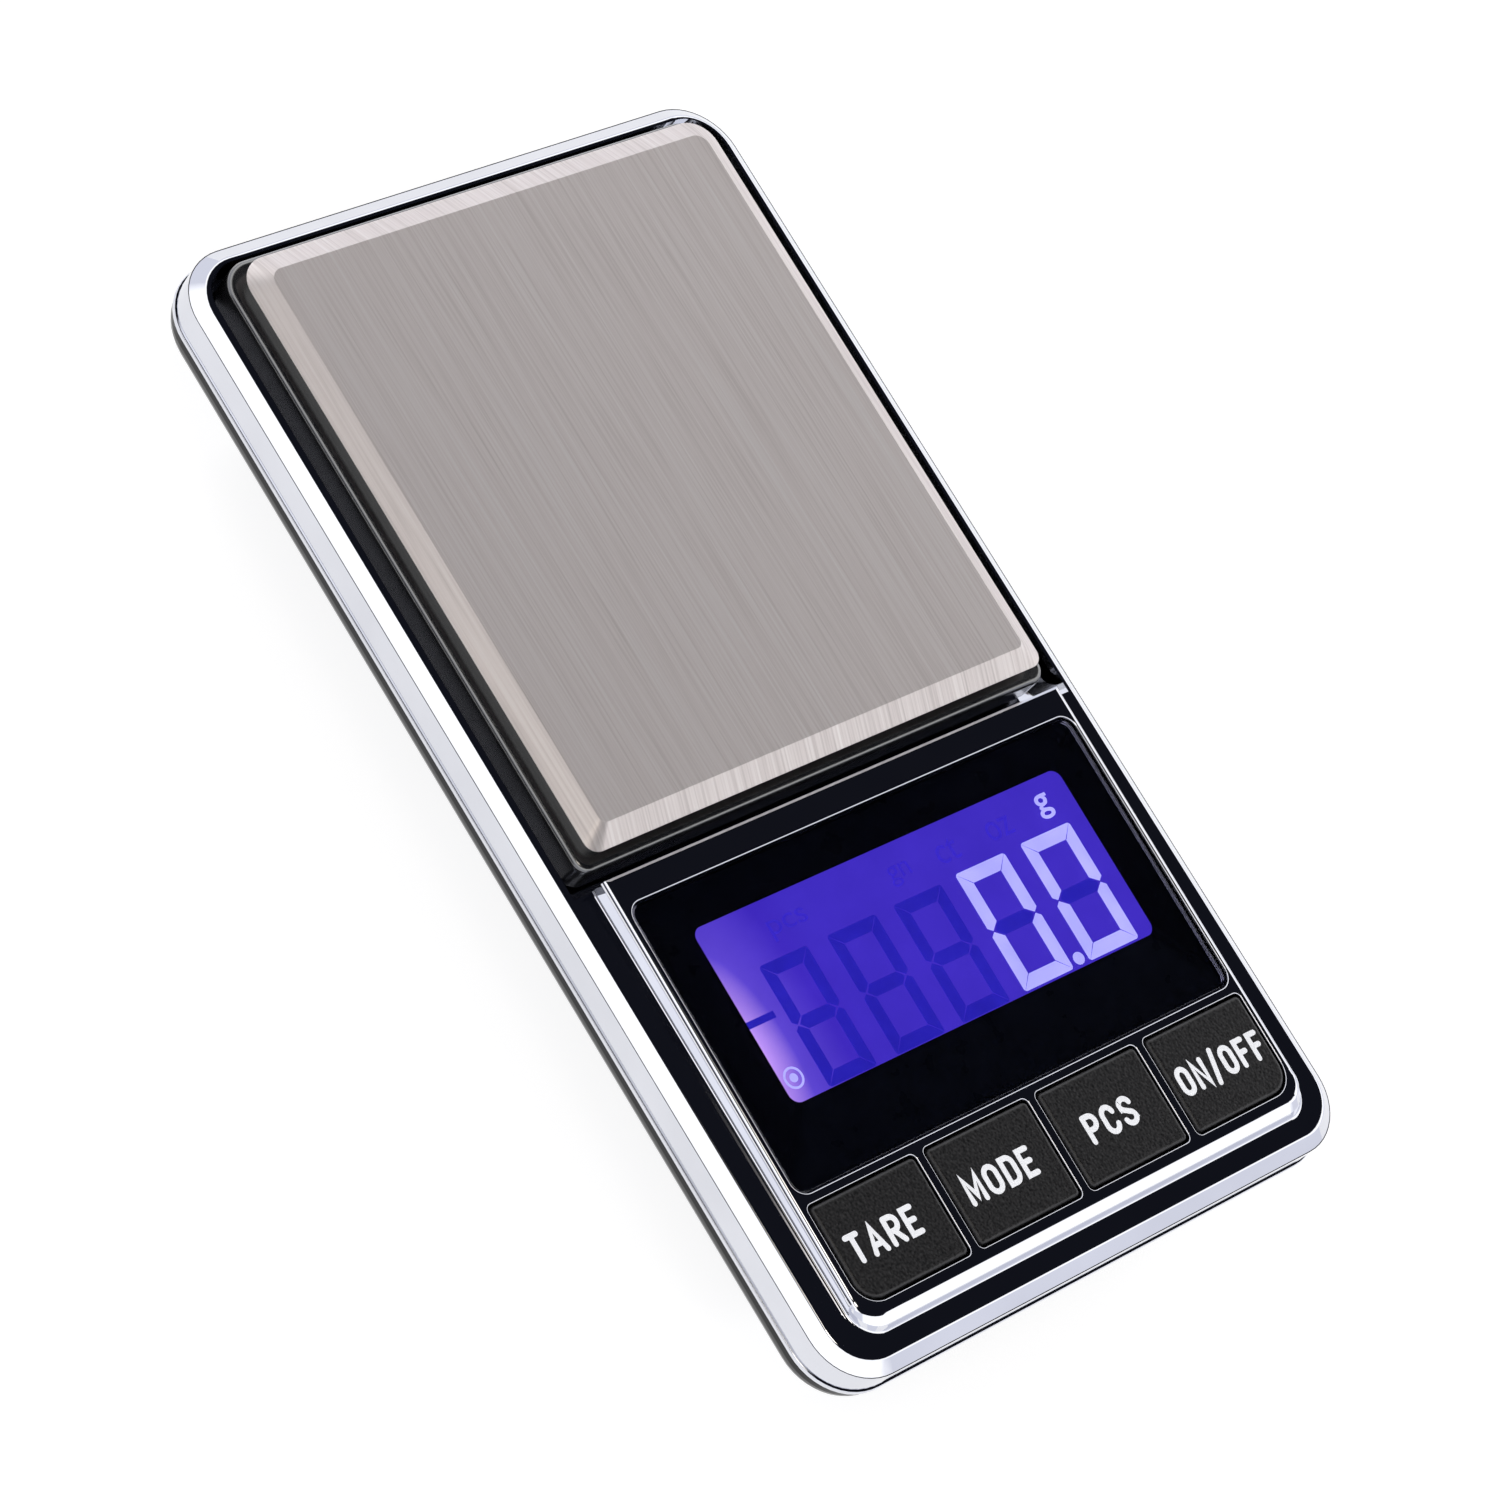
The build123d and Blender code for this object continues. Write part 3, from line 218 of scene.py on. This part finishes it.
def lcd_material():
    """Blue display cell lit from the side: brighter and pinker towards the lamp at its left end."""
    m, nt, b = new_mat("display_cell")
    vec = coords(nt)
    sep = node(nt, "ShaderNodeSeparateXYZ")
    nt.links.new(vec, sep.inputs[0])
    # distance from a point on the left edge, in mm, stretched along the edge
    sub = node(nt, "ShaderNodeVectorMath", operation="SUBTRACT")
    sub.inputs[1].default_value = (-22.4, -27.2, 17.5)
    nt.links.new(vec, sub.inputs[0])
    sc_ = node(nt, "ShaderNodeVectorMath", operation="MULTIPLY")
    sc_.inputs[1].default_value = (1.0, 0.42, 0.0)
    nt.links.new(sub.outputs[0], sc_.inputs[0])
    ln = node(nt, "ShaderNodeVectorMath", operation="LENGTH")
    nt.links.new(sc_.outputs[0], ln.inputs[0])
    glow = ramp(nt, maprange(nt, ln.outputs["Value"], 0, 1, 0, 12), LCD_GLOW)
    f = noise(nt, vec, 0.35, 2.0)
    mul = node(nt, "ShaderNodeMix", data_type="RGBA", blend_type="MULTIPLY")
    mul.inputs[0].default_value = 0.15
    nt.links.new(glow, mul.inputs[6])
    nt.links.new(ramp(nt, f, [(0.3, (0.8, 0.8, 0.85)), (0.7, (1, 1, 1))]), mul.inputs[7])
    nt.links.new(mul.outputs[2], b.inputs["Emission Color"])
    b.inputs["Emission Strength"].default_value = 1.0
    nt.links.new(ramp(nt, f, [(0.3, (0.006, 0.003, 0.05)), (0.7, (0.008, 0.004, 0.06))]), b.inputs["Base Color"])
    nt.links.new(maprange(nt, f, 0.1, 0.2, 0.3, 0.7), b.inputs["Roughness"])
    return m


LCD_GLOW = [(0.0, (1.8, 1.1, 1.6)), (0.12, (0.95, 0.56, 1.35)), (0.35, (0.20, 0.11, 0.90)), (0.75, (0.095, 0.042, 0.75)), (1.0, (0.095, 0.048, 0.76))]
mats["lcd"] = lcd_material()
mats["guide"] = surface("light_guide", (0.70, 0.72, 0.80), (0.80, 0.82, 0.88), 0.5, rough=(0.3, 0.45))
mats["led"] = surface("lamp_phosphor", (0.80, 0.78, 0.40), (0.90, 0.88, 0.60), 2.0, rough=(0.3, 0.4))
mats["frame"] = plastic_grain("display_frame", (0.62, 0.62, 0.60), (0.70, 0.70, 0.68), (0.45, 0.6), 0.01, 2.0)
mats["zebra"] = surface("contact_rubber", (0.20, 0.02, 0.02), (0.60, 0.55, 0.50), 6.0, rough=(0.5, 0.7), stretch=(6, 1, 1))
mats["board"] = surface("solder_mask", (0.010, 0.075, 0.028), (0.016, 0.115, 0.045), 0.9, rough=(0.22, 0.4), bump_mm=0.02, bump_scale=1.2)
mats["blob"] = surface("epoxy", (0.006, 0.006, 0.006), (0.014, 0.014, 0.014), 0.5, rough=(0.15, 0.3), bump_mm=0.05, bump_scale=0.5)
mats["chip"] = surface("chip_package", (0.018, 0.018, 0.018), (0.032, 0.032, 0.032), 2.0, rough=(0.5, 0.65), bump_mm=0.01, bump_scale=10)
mats["can"] = surface("tinned_can", (0.60, 0.60, 0.58), (0.75, 0.75, 0.73), 0.8, metal=1.0, rough=(0.2, 0.35))
mats["passive"] = surface("ceramic_parts", (0.32, 0.22, 0.13), (0.60, 0.52, 0.42), 1.4, rough=(0.4, 0.6))
mats["zinc"] = surface("zinc_plate", (0.50, 0.50, 0.52), (0.68, 0.67, 0.64), 0.9, metal=1.0, rough=(0.22, 0.38), bump_mm=0.01, bump_scale=3)
mats["silicone"] = surface("keypad_silicone", (0.20, 0.21, 0.22), (0.28, 0.29, 0.30), 0.7, rough=(0.55, 0.7), bump_mm=0.01, bump_scale=4)
mats["beam"] = surface("milled_aluminium", (0.60, 0.61, 0.63), (0.74, 0.75, 0.77), 0.8, metal=1.0, rough=(0.25, 0.42),
                       bump_mm=0.01, bump_scale=2.0, stretch=(6, 0.3, 6))
mats["resin"] = surface("gauge_resin", (0.72, 0.68, 0.56), (0.82, 0.79, 0.70), 0.6, rough=(0.2, 0.35), bump_mm=0.03, bump_scale=1.0)
mats["nickel"] = surface("nickel_spring", (0.55, 0.54, 0.50), (0.72, 0.70, 0.66), 1.0, metal=1.0, rough=(0.2, 0.35))
mats["foot"] = plastic_grain("foot_rubber", (0.020, 0.020, 0.020), (0.034, 0.034, 0.034), (0.7, 0.85), 0.02, 2.5, 0.3)
mats["wire"] = surface("wire_sleeve", (0.30, 0.010, 0.010), (0.42, 0.02, 0.02), 0.5, rough=(0.35, 0.5))


def cell_material(name, lo, hi):
    """Plain two-tone cell jacket: dark body, copper-coloured band at the positive end, bare metal ends."""
    m, nt, b = new_mat(name)
    vec = coords(nt)
    sep = node(nt, "ShaderNodeSeparateXYZ")
    nt.links.new(vec, sep.inputs[0])
    col = ramp(nt, maprange(nt, sep.outputs[1], lo, hi, -45, 1.5), [(0.0, (0.55, 0.54, 0.50)), (0.035, (0.012, 0.03, 0.10)),
               (0.5, (0.016, 0.04, 0.13)), (0.80, (0.50, 0.22, 0.07))])
    grime = noise(nt, vec, 0.4, 3.0)
    mix = node(nt, "ShaderNodeMix", data_type="RGBA", blend_type="MULTIPLY")
    mix.inputs[0].default_value = 0.25
    nt.links.new(col, mix.inputs[6])
    nt.links.new(ramp(nt, grime, [(0.3, (0.6, 0.6, 0.6)), (0.7, (1, 1, 1))]), mix.inputs[7])
    nt.links.new(mix.outputs[2], b.inputs["Base Color"])
    nt.links.new(maprange(nt, grime, 0.25, 0.4, 0.3, 0.7), b.inputs["Roughness"])
    b.inputs["Metallic"].default_value = 0.3
    return m


mats["cell"] = cell_material("cell_jacket", 0, 1)
mats["cell_turned"] = cell_material("cell_jacket_turned", 1, 0)

use = {
    "top_housing": "chrome", "bottom_shell": "gloss_black", "battery_door": "door", "lens_window": "lens", "lens_mask": "mask",
    "lcd_panel": "lcd", "lcd_backlight": "guide", "backlight_led": "led", "lcd_frame": "frame", "zebra_strip": "zebra",
    "main_pcb": "board", "controller_blob": "blob", "converter_chip": "chip", "crystal": "can", "pcb_passives": "passive",
    "pcb_screws": "zinc", "keypad_mat": "silicone", "button_tare": "key", "button_mode": "key", "button_pcs": "key",
    "button_on_off": "key", "load_cell": "beam", "strain_gauges": "resin", "load_cell_screws": "zinc", "overload_stop": "zinc",
    "pan_carrier": "carrier", "carrier_screws": "zinc", "pan_tape": "tape", "weighing_pan": "pan", "battery_left": "cell",
    "battery_right": "cell_turned", "battery_terminals": "nickel", "battery_bridge": "nickel", "case_screws": "zinc",
    "rubber_feet": "foot", "gauge_leads": "wire"}
for name, o in nodes.items():
    o.data.materials.clear()
    o.data.materials.append(mats[use[name]])

# ------------------------------------------------------------------ display graphics
def emit_material(name, col, strength, rough=0.4):
    m, nt, b = new_mat(name)
    vec = coords(nt)
    f = noise(nt, vec, 0.5, 2.0)
    c = ramp(nt, f, [(0.3, tuple(v * 0.94 for v in col)), (0.7, col)])
    nt.links.new(c, b.inputs["Base Color"])
    nt.links.new(c, b.inputs["Emission Color"])
    b.inputs["Emission Strength"].default_value = strength
    b.inputs["Roughness"].default_value = rough
    return m


# a point of the display picture: u, v in twenty-fifths of 1.05 mm from the far left of the deck
def lcd(u, v, n):
    return deck((u / 25.0 - 31.0) * 1.05, (6.0 - v / 25.0) * 1.05, n)


class Flat:
    """Thin raised shapes on the display glass, gathered into one mesh."""

    def __init__(self):
        self.v, self.f = [], []

    def prism(self, pts, lo=-LCD_DEPTH + 0.005, hi=-LCD_DEPTH + 0.03):
        n, k = len(pts), len(self.v)
        area = sum(pts[i][0] * pts[(i + 1) % n][1] - pts[(i + 1) % n][0] * pts[i][1] for i in range(n))
        if area > 0:  # v runs down the picture, so this order faces outwards
            pts = pts[::-1]
        self.v += [lcd(x, y, hi) for x, y in pts] + [lcd(x, y, lo) for x, y in pts]
        self.f.append(tuple(range(k, k + n)))
        self.f.append(tuple(range(k + 2 * n - 1, k + n - 1, -1)))
        for i in range(n):
            j = (i + 1) % n
            self.f.append((k + i, k + n + i, k + n + j, k + j))

    def ring(self, cx, cy, r0, r1, n=48):
        for i in range(n):
            a, b = 2 * math.pi * i / n, 2 * math.pi * (i + 1) / n
            self.prism([(cx + r0 * math.cos(a), cy + r0 * math.sin(a)), (cx + r1 * math.cos(a), cy + r1 * math.sin(a)),
                        (cx + r1 * math.cos(b), cy + r1 * math.sin(b)), (cx + r0 * math.cos(b), cy + r0 * math.sin(b))])

    def disc(self, cx, cy, r, n=32):
        self.prism([(cx + r * math.cos(2 * math.pi * i / n), cy + r * math.sin(2 * math.pi * i / n)) for i in range(n)])

    def make(self, name, mat):
        me = bpy.data.meshes.new(name)
        me.from_pydata([tuple(p) for p in self.v], [], self.f)
        me.update()
        o = bpy.data.objects.new(name, me)
        bpy.context.scene.collection.objects.link(o)
        me.materials.append(mat)
        return o


def segments(x0, y0, x1, y1, w, gap=3.0):
    """The seven mitred segments of a digit in the given box, as lists of corners, named a to g."""
    ym = (y0 + y1) / 2
    g, h = gap / 2, w / 2
    r = 5.0
    return {
        "a": [(x0 + g + r, y0), (x1 - g - r, y0), (x1 - g - 1, y0 + 2), (x1 - w - g, y0 + w), (x0 + w + g, y0 + w), (x0 + g + 1, y0 + 2)],
        "b": [(x1, y0 + g + r), (x1, ym - g - h * 0.55), (x1 - h * 0.7, ym - g), (x1 - w, ym - h - g), (x1 - w, y0 + w + g), (x1 - 2, y0 + g + 1)],
        "c": [(x1, y1 - g - r), (x1, ym + g + h * 0.55), (x1 - h * 0.7, ym + g), (x1 - w, ym + h + g), (x1 - w, y1 - w - g), (x1 - 2, y1 - g - 1)],
        "d": [(x0 + g + r, y1), (x1 - g - r, y1), (x1 - g - 1, y1 - 2), (x1 - w - g, y1 - w), (x0 + w + g, y1 - w), (x0 + g + 1, y1 - 2)],
        "e": [(x0, y1 - g - r), (x0, ym + g + h * 0.55), (x0 + h * 0.7, ym + g), (x0 + w, ym + h + g), (x0 + w, y1 - w - g), (x0 + 2, y1 - g - 1)],
        "f": [(x0, y0 + g + r), (x0, ym - g - h * 0.55), (x0 + h * 0.7, ym - g), (x0 + w, ym - h - g), (x0 + w, y0 + w + g), (x0 + 2, y0 + g + 1)],
        "g": [(x0 + h + g, ym), (x0 + w + g, ym - h), (x1 - w - g, ym - h), (x1 - h - g, ym), (x1 - w - g, ym + h), (x0 + w + g, ym + h)],
    }


mats["lit"] = emit_material("lit_segment", (0.72, 0.70, 1.20), 1.0)
mats["ghost"] = emit_material("ghost_segment", (0.030, 0.020, 0.50), 1.0)
mats["faint"] = emit_material("faint_unit", (0.060, 0.030, 0.64), 1.0)
lit, ghost = Flat(), Flat()
for box_ in ((920, 420, 1062, 697), (1110, 418, 1255, 697)):
    for k, pts in segments(*box_, 31).items():
        (ghost if k == "g" else lit).prism(pts)
for box_ in ((370, 425, 500, 700), (555, 425, 690, 700), (740, 425, 875, 700)):
    for pts in segments(*box_, 29).values():
        ghost.prism(pts)
ghost.prism([(268, 515), (345, 515), (345, 530), (268, 530)])
lit.disc(1077 + 10, 682, 14)
lit.ring(305.5, 652, 18.5, 23.5)
lit.disc(305.5, 652, 9.5)
lit_obj = lit.make("display_lit_segments", mats["lit"])
ghost_obj = ghost.make("display_ghost_segments", mats["ghost"])
for o in (lit_obj, ghost_obj):
    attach(o, "case")


# ------------------------------------------------------------------ lettering with round-ended strokes
def arc(cx, cy, rx, ry, a0, a1, n=10):
    return [(cx + rx * math.cos(math.radians(a0 + (a1 - a0) * i / n)), cy + ry * math.sin(math.radians(a0 + (a1 - a0) * i / n)))
            for i in range(n + 1)]


def glyph(c, w, t):
    """Centre lines of a letter one unit high and w wide, drawn with strokes of thickness t: (closed, points)."""
    x0, x1, y0, y1, xc = t / 2, w - t / 2, t / 2, 1 - t / 2, w / 2
    r = min((x1 - x0) / 2, 0.26)
    ym = 0.5
    bowl = [(x0, y1), (x1 - r, y1)] + arc(x1 - r, (y1 + ym - 0.03) / 2, r, (y1 - ym + 0.03) / 2, 90, -90, 12)[1:] + [(x0, ym - 0.03)]
    L = {
        "T": [(0, [(x0, y1), (x1, y1)]), (0, [(xc, y1), (xc, y0)])],
        "A": [(0, [(x0, y0), (xc, y1), (x1, y0)]), (0, [(x0 + (xc - x0) * 0.30, 0.33), (x1 - (x1 - xc) * 0.30, 0.33)])],
        "R": [(0, [(x0, y0), (x0, y1)]), (0, bowl), (0, [(xc - 0.02, ym - 0.03), (x1, y0)])],
        "P": [(0, [(x0, y0), (x0, y1)]), (0, bowl)],
        "E": [(0, [(x1, y1), (x0, y1), (x0, y0), (x1, y0)]), (0, [(x0, ym + 0.02), (x1 - 0.05, ym + 0.02)])],
        "F": [(0, [(x1, y1), (x0, y1), (x0, y0)]), (0, [(x0, ym + 0.02), (x1 - 0.05, ym + 0.02)])],
        "M": [(0, [(x0, y0), (x0, y1), (xc, y0 + 0.18), (x1, y1), (x1, y0)])],
        "N": [(0, [(x0, y0), (x0, y1), (x1, y0), (x1, y1)])],
        "O": [(1, arc(xc, y1 - r * 1.15, r, r * 1.15, 0, 180, 14) + arc(xc, y0 + r * 1.15, r, r * 1.15, 180, 360, 14))],
        "D": [(1, [(x0, y0), (x0, y1), (x1 - r, y1)] + arc(x1 - r, y1 - r * 1.2, r, r * 1.2, 90, 0, 8)[1:]
               + arc(x1 - r, y0 + r * 1.2, r, r * 1.2, 0, -90, 8))],
        "C": [(0, arc(xc, y1 - r * 1.15, r, r * 1.15, 12, 180, 12) + arc(xc, y0 + r * 1.15, r, r * 1.15, 180, 348, 12))],
        "S": [(0, arc(xc, y1 - r, r, r, 15, 180, 11) + arc(xc, ym + 0.245, r, 0.215, 180, 250, 6)[1:]
               + arc(xc, ym - 0.245, r, 0.215, 70, 0, 6) + arc(xc, y0 + r, r, r, 0, -165, 11)[1:])],
        "/": [(0, [(x0, -0.03), (x1, 1.03)])],
    }
    return L[c]


def outline_of(points, closed, t, caps=6):
    """Polygon round an open centre line, or the (outer, inner) pair round a closed one."""
    n = len(points)
    P = [Vector(p) for p in points]
    if closed:
        P2 = [p for i, p in enumerate(P) if (p - P[i - 1]).length > 1e-5]
        P, n = P2, len(P2)
    side = []
    for i in range(n):
        if closed:
            a, b = P[i - 1], P[(i + 1) % n]
            d1, d2 = (P[i] - a).normalized(), (b - P[i]).normalized()
        else:
            d1 = (P[i] - P[i - 1]).normalized() if i else (P[1] - P[0]).normalized()
            d2 = (P[i + 1] - P[i]).normalized() if i < n - 1 else d1
        m = (d1 + d2)
        m = m.normalized() if m.length > 1e-6 else d1
        k = 1 / max(0.35, m.dot(d1))
        side.append((Vector((-m.y, m.x)), min(k, 2.2)))
    left = [P[i] + side[i][0] * (t / 2) * side[i][1] for i in range(n)]
    right = [P[i] - side[i][0] * (t / 2) * side[i][1] for i in range(n)]
    if closed:
        return left, right
    d = (P[-1] - P[-2]).normalized()
    a0 = math.atan2(d.x, -d.y)
    a0 = math.atan2(d.y, d.x) + math.pi / 2
    end = [P[-1] + Vector((math.cos(a0 - math.pi * i / caps), math.sin(a0 - math.pi * i / caps))) * (t / 2) for i in range(1, caps)]
    d = (P[1] - P[0]).normalized()
    a1 = math.atan2(d.y, d.x) - math.pi / 2
    start = [P[0] + Vector((math.cos(a1 - math.pi * i / caps), math.sin(a1 - math.pi * i / caps))) * (t / 2) for i in range(1, caps)]
    return left + end + right[::-1] + start


def prism_object(name, outer, inner, h):
    """A closed prism h high over a polygon, or over the ring between two."""
    me = bpy.data.meshes.new(name)
    if inner is None:
        n = len(outer)
        vs = [(p.x, p.y, h) for p in outer] + [(p.x, p.y, 0) for p in outer]
        fs = [tuple(range(n)), tuple(range(2 * n - 1, n - 1, -1))] + [(i, n + i, n + (i + 1) % n, (i + 1) % n) for i in range(n)]
    else:
        n = len(outer)
        vs = ([(p.x, p.y, h) for p in outer] + [(p.x, p.y, h) for p in inner]
              + [(p.x, p.y, 0) for p in outer] + [(p.x, p.y, 0) for p in inner])
        fs = []
        for i in range(n):
            j = (i + 1) % n
            fs += [(i, j, n + j, n + i), (2 * n + i, 3 * n + i, 3 * n + j, 2 * n + j), (i, 2 * n + i, 2 * n + j, j),
                   (n + i, n + j, 3 * n + j, 3 * n + i)]
    me.from_pydata(vs, [], fs)
    me.update()
    import bmesh
    bm = bmesh.new()
    bm.from_mesh(me)
    bmesh.ops.recalc_face_normals(bm, faces=list(bm.faces))
    bm.to_mesh(me)
    bm.free()
    o = bpy.data.objects.new(name, me)
    bpy.context.scene.collection.objects.link(o)
    return o


def word_mesh(name, word, widths, gap, t, height, width, thick):
    """A word in the xy plane, centred, in mm: strokes of each letter are united into one solid."""
    total = sum(widths[c] for c in word) + gap * (len(word) - 1)
    kx, ky = width / total, height
    x = 0.0
    parts = []
    for c in word:
        w = widths[c]
        strokes = []
        for closed, pts in glyph(c, w * kx / ky, t):
            pts = [(px * ky + x * kx, py * ky) for px, py in pts]
            out = outline_of(pts, closed, t * ky)
            strokes.append(prism_object(name + "_stroke", *(out if closed else (out, None)), thick + 0.002 * len(strokes)))
        base = strokes[0]
        for other in strokes[1:]:
            md = base.modifiers.new("join", "BOOLEAN")
            md.operation, md.solver, md.object = "UNION", "EXACT", other
        bpy.context.view_layer.update()
        me = bpy.data.meshes.new_from_object(base.evaluated_get(bpy.context.evaluated_depsgraph_get()))
        parts.append(me)
        for s_ in strokes:
            m_ = s_.data
            bpy.data.objects.remove(s_)
            bpy.data.meshes.remove(m_)
        x += w + gap
    vs, fs = [], []
    for me in parts:
        k = len(vs)
        vs += [(v.co.x - width / 2, v.co.y - height / 2, v.co.z) for v in me.vertices]
        fs += [tuple(k + i for i in p.vertices) for p in me.polygons]
        bpy.data.meshes.remove(me)
    out = bpy.data.meshes.new(name)
    out.from_pydata(vs, [], fs)
    out.update()
    return out


def place_on_deck(name, me, mat, cx, cs, depth):
    for v in me.vertices:
        v.co = deck(cx + v.co.x, cs + v.co.y, depth + v.co.z)
    me.update()
    o = bpy.data.objects.new(name, me)
    bpy.context.scene.collection.objects.link(o)
    me.materials.append(mat)
    return o


LETTER_W = {"T": 0.56, "A": 0.60, "R": 0.56, "E": 0.50, "M": 0.66, "O": 0.58, "D": 0.56, "P": 0.54, "C": 0.55, "S": 0.55,
            "N": 0.58, "F": 0.50, "/": 0.42}
# printed key legends with a painted glow: the white ink also emits a faint light of its own, so the letters read
# brighter than lit ink would
mats["legend"] = emit_material("legend_ink_painted_glow", (0.90, 0.91, 0.94), 0.28, 0.5)
legends = [("TARE", -23.4, -16.0, "tare_key"), ("MODE", -10.7, -3.1, "mode_key"), ("PCS", 3.0, 8.6, "pcs_key"),
           ("ON/OFF", 13.9, 23.9, "power_key")]
for word, a, b_, body in legends:
    me = word_mesh("legend_" + body, word, LETTER_W, 0.13, 0.182, 2.75, (b_ - a) * 1.05, 0.03)
    o = place_on_deck("legend_" + body, me, mats["legend"], (a + b_) / 2 * 1.05, -34.2 * 1.05, 0.112)
    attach(o, body)


def font_mesh(name, body, mat, u0, u1, v0, v1, thick=0.025, bold=0.0):
    """Small lettering on the display glass that fills the given box of the display picture."""
    cu = bpy.data.curves.new(name, "FONT")
    cu.body = body
    cu.offset = bold
    cu.resolution_u = 8
    cu.extrude = 0.5
    tmp = bpy.data.objects.new(name + "_tmp", cu)
    bpy.context.scene.collection.objects.link(tmp)
    bpy.context.view_layer.update()
    me = bpy.data.meshes.new_from_object(tmp.evaluated_get(bpy.context.evaluated_depsgraph_get()))
    bpy.data.objects.remove(tmp)
    xs = [v.co.x for v in me.vertices]
    ys = [v.co.y for v in me.vertices]
    zs = [v.co.z for v in me.vertices]
    for v in me.vertices:
        fx = (v.co.x - min(xs)) / (max(xs) - min(xs))
        fy = (v.co.y - min(ys)) / (max(ys) - min(ys))
        fz = (v.co.z - min(zs)) / (max(zs) - min(zs))
        v.co = lcd(u0 + (u1 - u0) * fx, v1 + (v0 - v1) * fy, -LCD_DEPTH + 0.005 + thick * fz)
    me.update()
    me.materials.clear()
    me.materials.append(mat)
    o = bpy.data.objects.new(name, me)
    bpy.context.scene.collection.objects.link(o)
    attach(o, "case")
    return o


font_mesh("display_unit_g", "g", mats["lit"], 1200, 1240, 340, 395, bold=0.012)
font_mesh("display_unit_oz", "oz", mats["faint"], 1050, 1120, 350, 392)
font_mesh("display_unit_ct", "ct", mats["faint"], 905, 965, 345, 392)
font_mesh("display_unit_gn", "gn", mats["faint"], 770, 830, 350, 395)
font_mesh("display_unit_pcs", "pcs", mats["faint"], 440, 540, 350, 395)

# ------------------------------------------------------------------ floor, light, camera
def grid_mesh(name, size, n):
    me = bpy.data.meshes.new(name)
    vs = [(-size + 2 * size * i / n, -size + 2 * size * j / n, 0.0) for j in range(n + 1) for i in range(n + 1)]
    fs = [(j * (n + 1) + i, j * (n + 1) + i + 1, (j + 1) * (n + 1) + i + 1, (j + 1) * (n + 1) + i) for j in range(n) for i in range(n)]
    me.from_pydata(vs, [], fs)
    me.update()
    o = bpy.data.objects.new(name, me)
    bpy.context.scene.collection.objects.link(o)
    return o


floor = grid_mesh("floor", 3.0, 4)
floor.location.z = -0.00002
mats["floor"] = surface("pale_floor", (0.36, 0.36, 0.365), (0.38, 0.38, 0.385), 0.002, rough=(0.6, 0.7), spec=0.0)
fb = mats["floor"].node_tree.nodes["Principled BSDF"]
fb.inputs["Emission Color"].default_value = (1.0, 1.0, 1.0, 1.0)
fb.inputs["Emission Strength"].default_value = 0.83
floor.data.materials.append(mats["floor"])

world = bpy.data.worlds.new("studio")
bpy.context.scene.world = world
world.use_nodes = True
wn = world.node_tree
bg = wn.nodes["Background"]
tc = node(wn, "ShaderNodeTexCoord")
sep = node(wn, "ShaderNodeSeparateXYZ")
wn.links.new(tc.outputs["Generated"], sep.inputs[0])
# white surround up to a height that is a little greater on the left, dark above it
mx = node(wn, "ShaderNodeMath", operation="MULTIPLY_ADD")
mx.inputs[1].default_value = 0.16
wn.links.new(sep.outputs[0], mx.inputs[0])
wn.links.new(sep.outputs[2], mx.inputs[2])
sky = ramp(wn, mx.outputs[0], [(0.0, (0.58, 0.59, 0.65)), (0.375, (0.60, 0.61, 0.67)), (0.45, (1.0, 1.0, 1.0)), (0.690, (1.0, 1.0, 1.0)),
                             (0.735, (0.005, 0.0055, 0.0085))])
# a narrow dark panel low on the far left
pn = node(wn, "ShaderNodeVectorMath", operation="DOT_PRODUCT")
pn.inputs[1].default_value = (-0.968, 0.23, 0.10)
wn.links.new(tc.outputs["Generated"], pn.inputs[0])
pm = node(wn, "ShaderNodeMix", data_type="RGBA", blend_type="MULTIPLY")
pm.inputs[0].default_value = 1.0
wn.links.new(sky, pm.inputs[6])
wn.links.new(ramp(wn, pn.outputs["Value"], [(0.945, (1.0, 1.0, 1.0)), (0.965, (0.05, 0.05, 0.06))]), pm.inputs[7])
sky = pm.outputs[2]
# a soft lamp high up on the left
dot = node(wn, "ShaderNodeVectorMath", operation="DOT_PRODUCT")
la, le = math.radians(-80.0), math.radians(72.0)
dot.inputs[1].default_value = (math.sin(la) * math.cos(le), -math.cos(la) * math.cos(le), math.sin(le))
wn.links.new(tc.outputs["Generated"], dot.inputs[0])
lamp = ramp(wn, dot.outputs["Value"], [(0.984, (0, 0, 0)), (0.990, (2.2, 2.05, 1.8))])
add = node(wn, "ShaderNodeMix", data_type="RGBA", blend_type="ADD")
add.inputs[0].default_value = 1.0
wn.links.new(sky, add.inputs[6])
wn.links.new(lamp, add.inputs[7])
wn.links.new(add.outputs[2], bg.inputs["Color"])
bg.inputs["Strength"].default_value = 1.5

scene = bpy.context.scene
scene.view_settings.view_transform = "Standard"

cam_data = bpy.data.cameras.new("camera")
cam_data.sensor_width = 36.0
cam_data.lens = 129.66
cam_data.clip_start, cam_data.clip_end = 0.01, 20.0
cam = bpy.data.objects.new("camera", cam_data)
scene.collection.objects.link(cam)
Rwc = Matrix(((0.724072204, -0.512937857, 0.461101071), (-0.304862963, -0.837691682, -0.453134881),
              (0.618690567, 0.187529733, -0.762925017)))
rot = Rwc.transposed() @ Matrix(((1, 0, 0), (0, -1, 0), (0, 0, -1)))
cam.matrix_world = Matrix.Translation(Vector((-286.077, -88.225, RIM_Z + 346.446)) * MM) @ rot.to_4x4()
scene.camera = cam
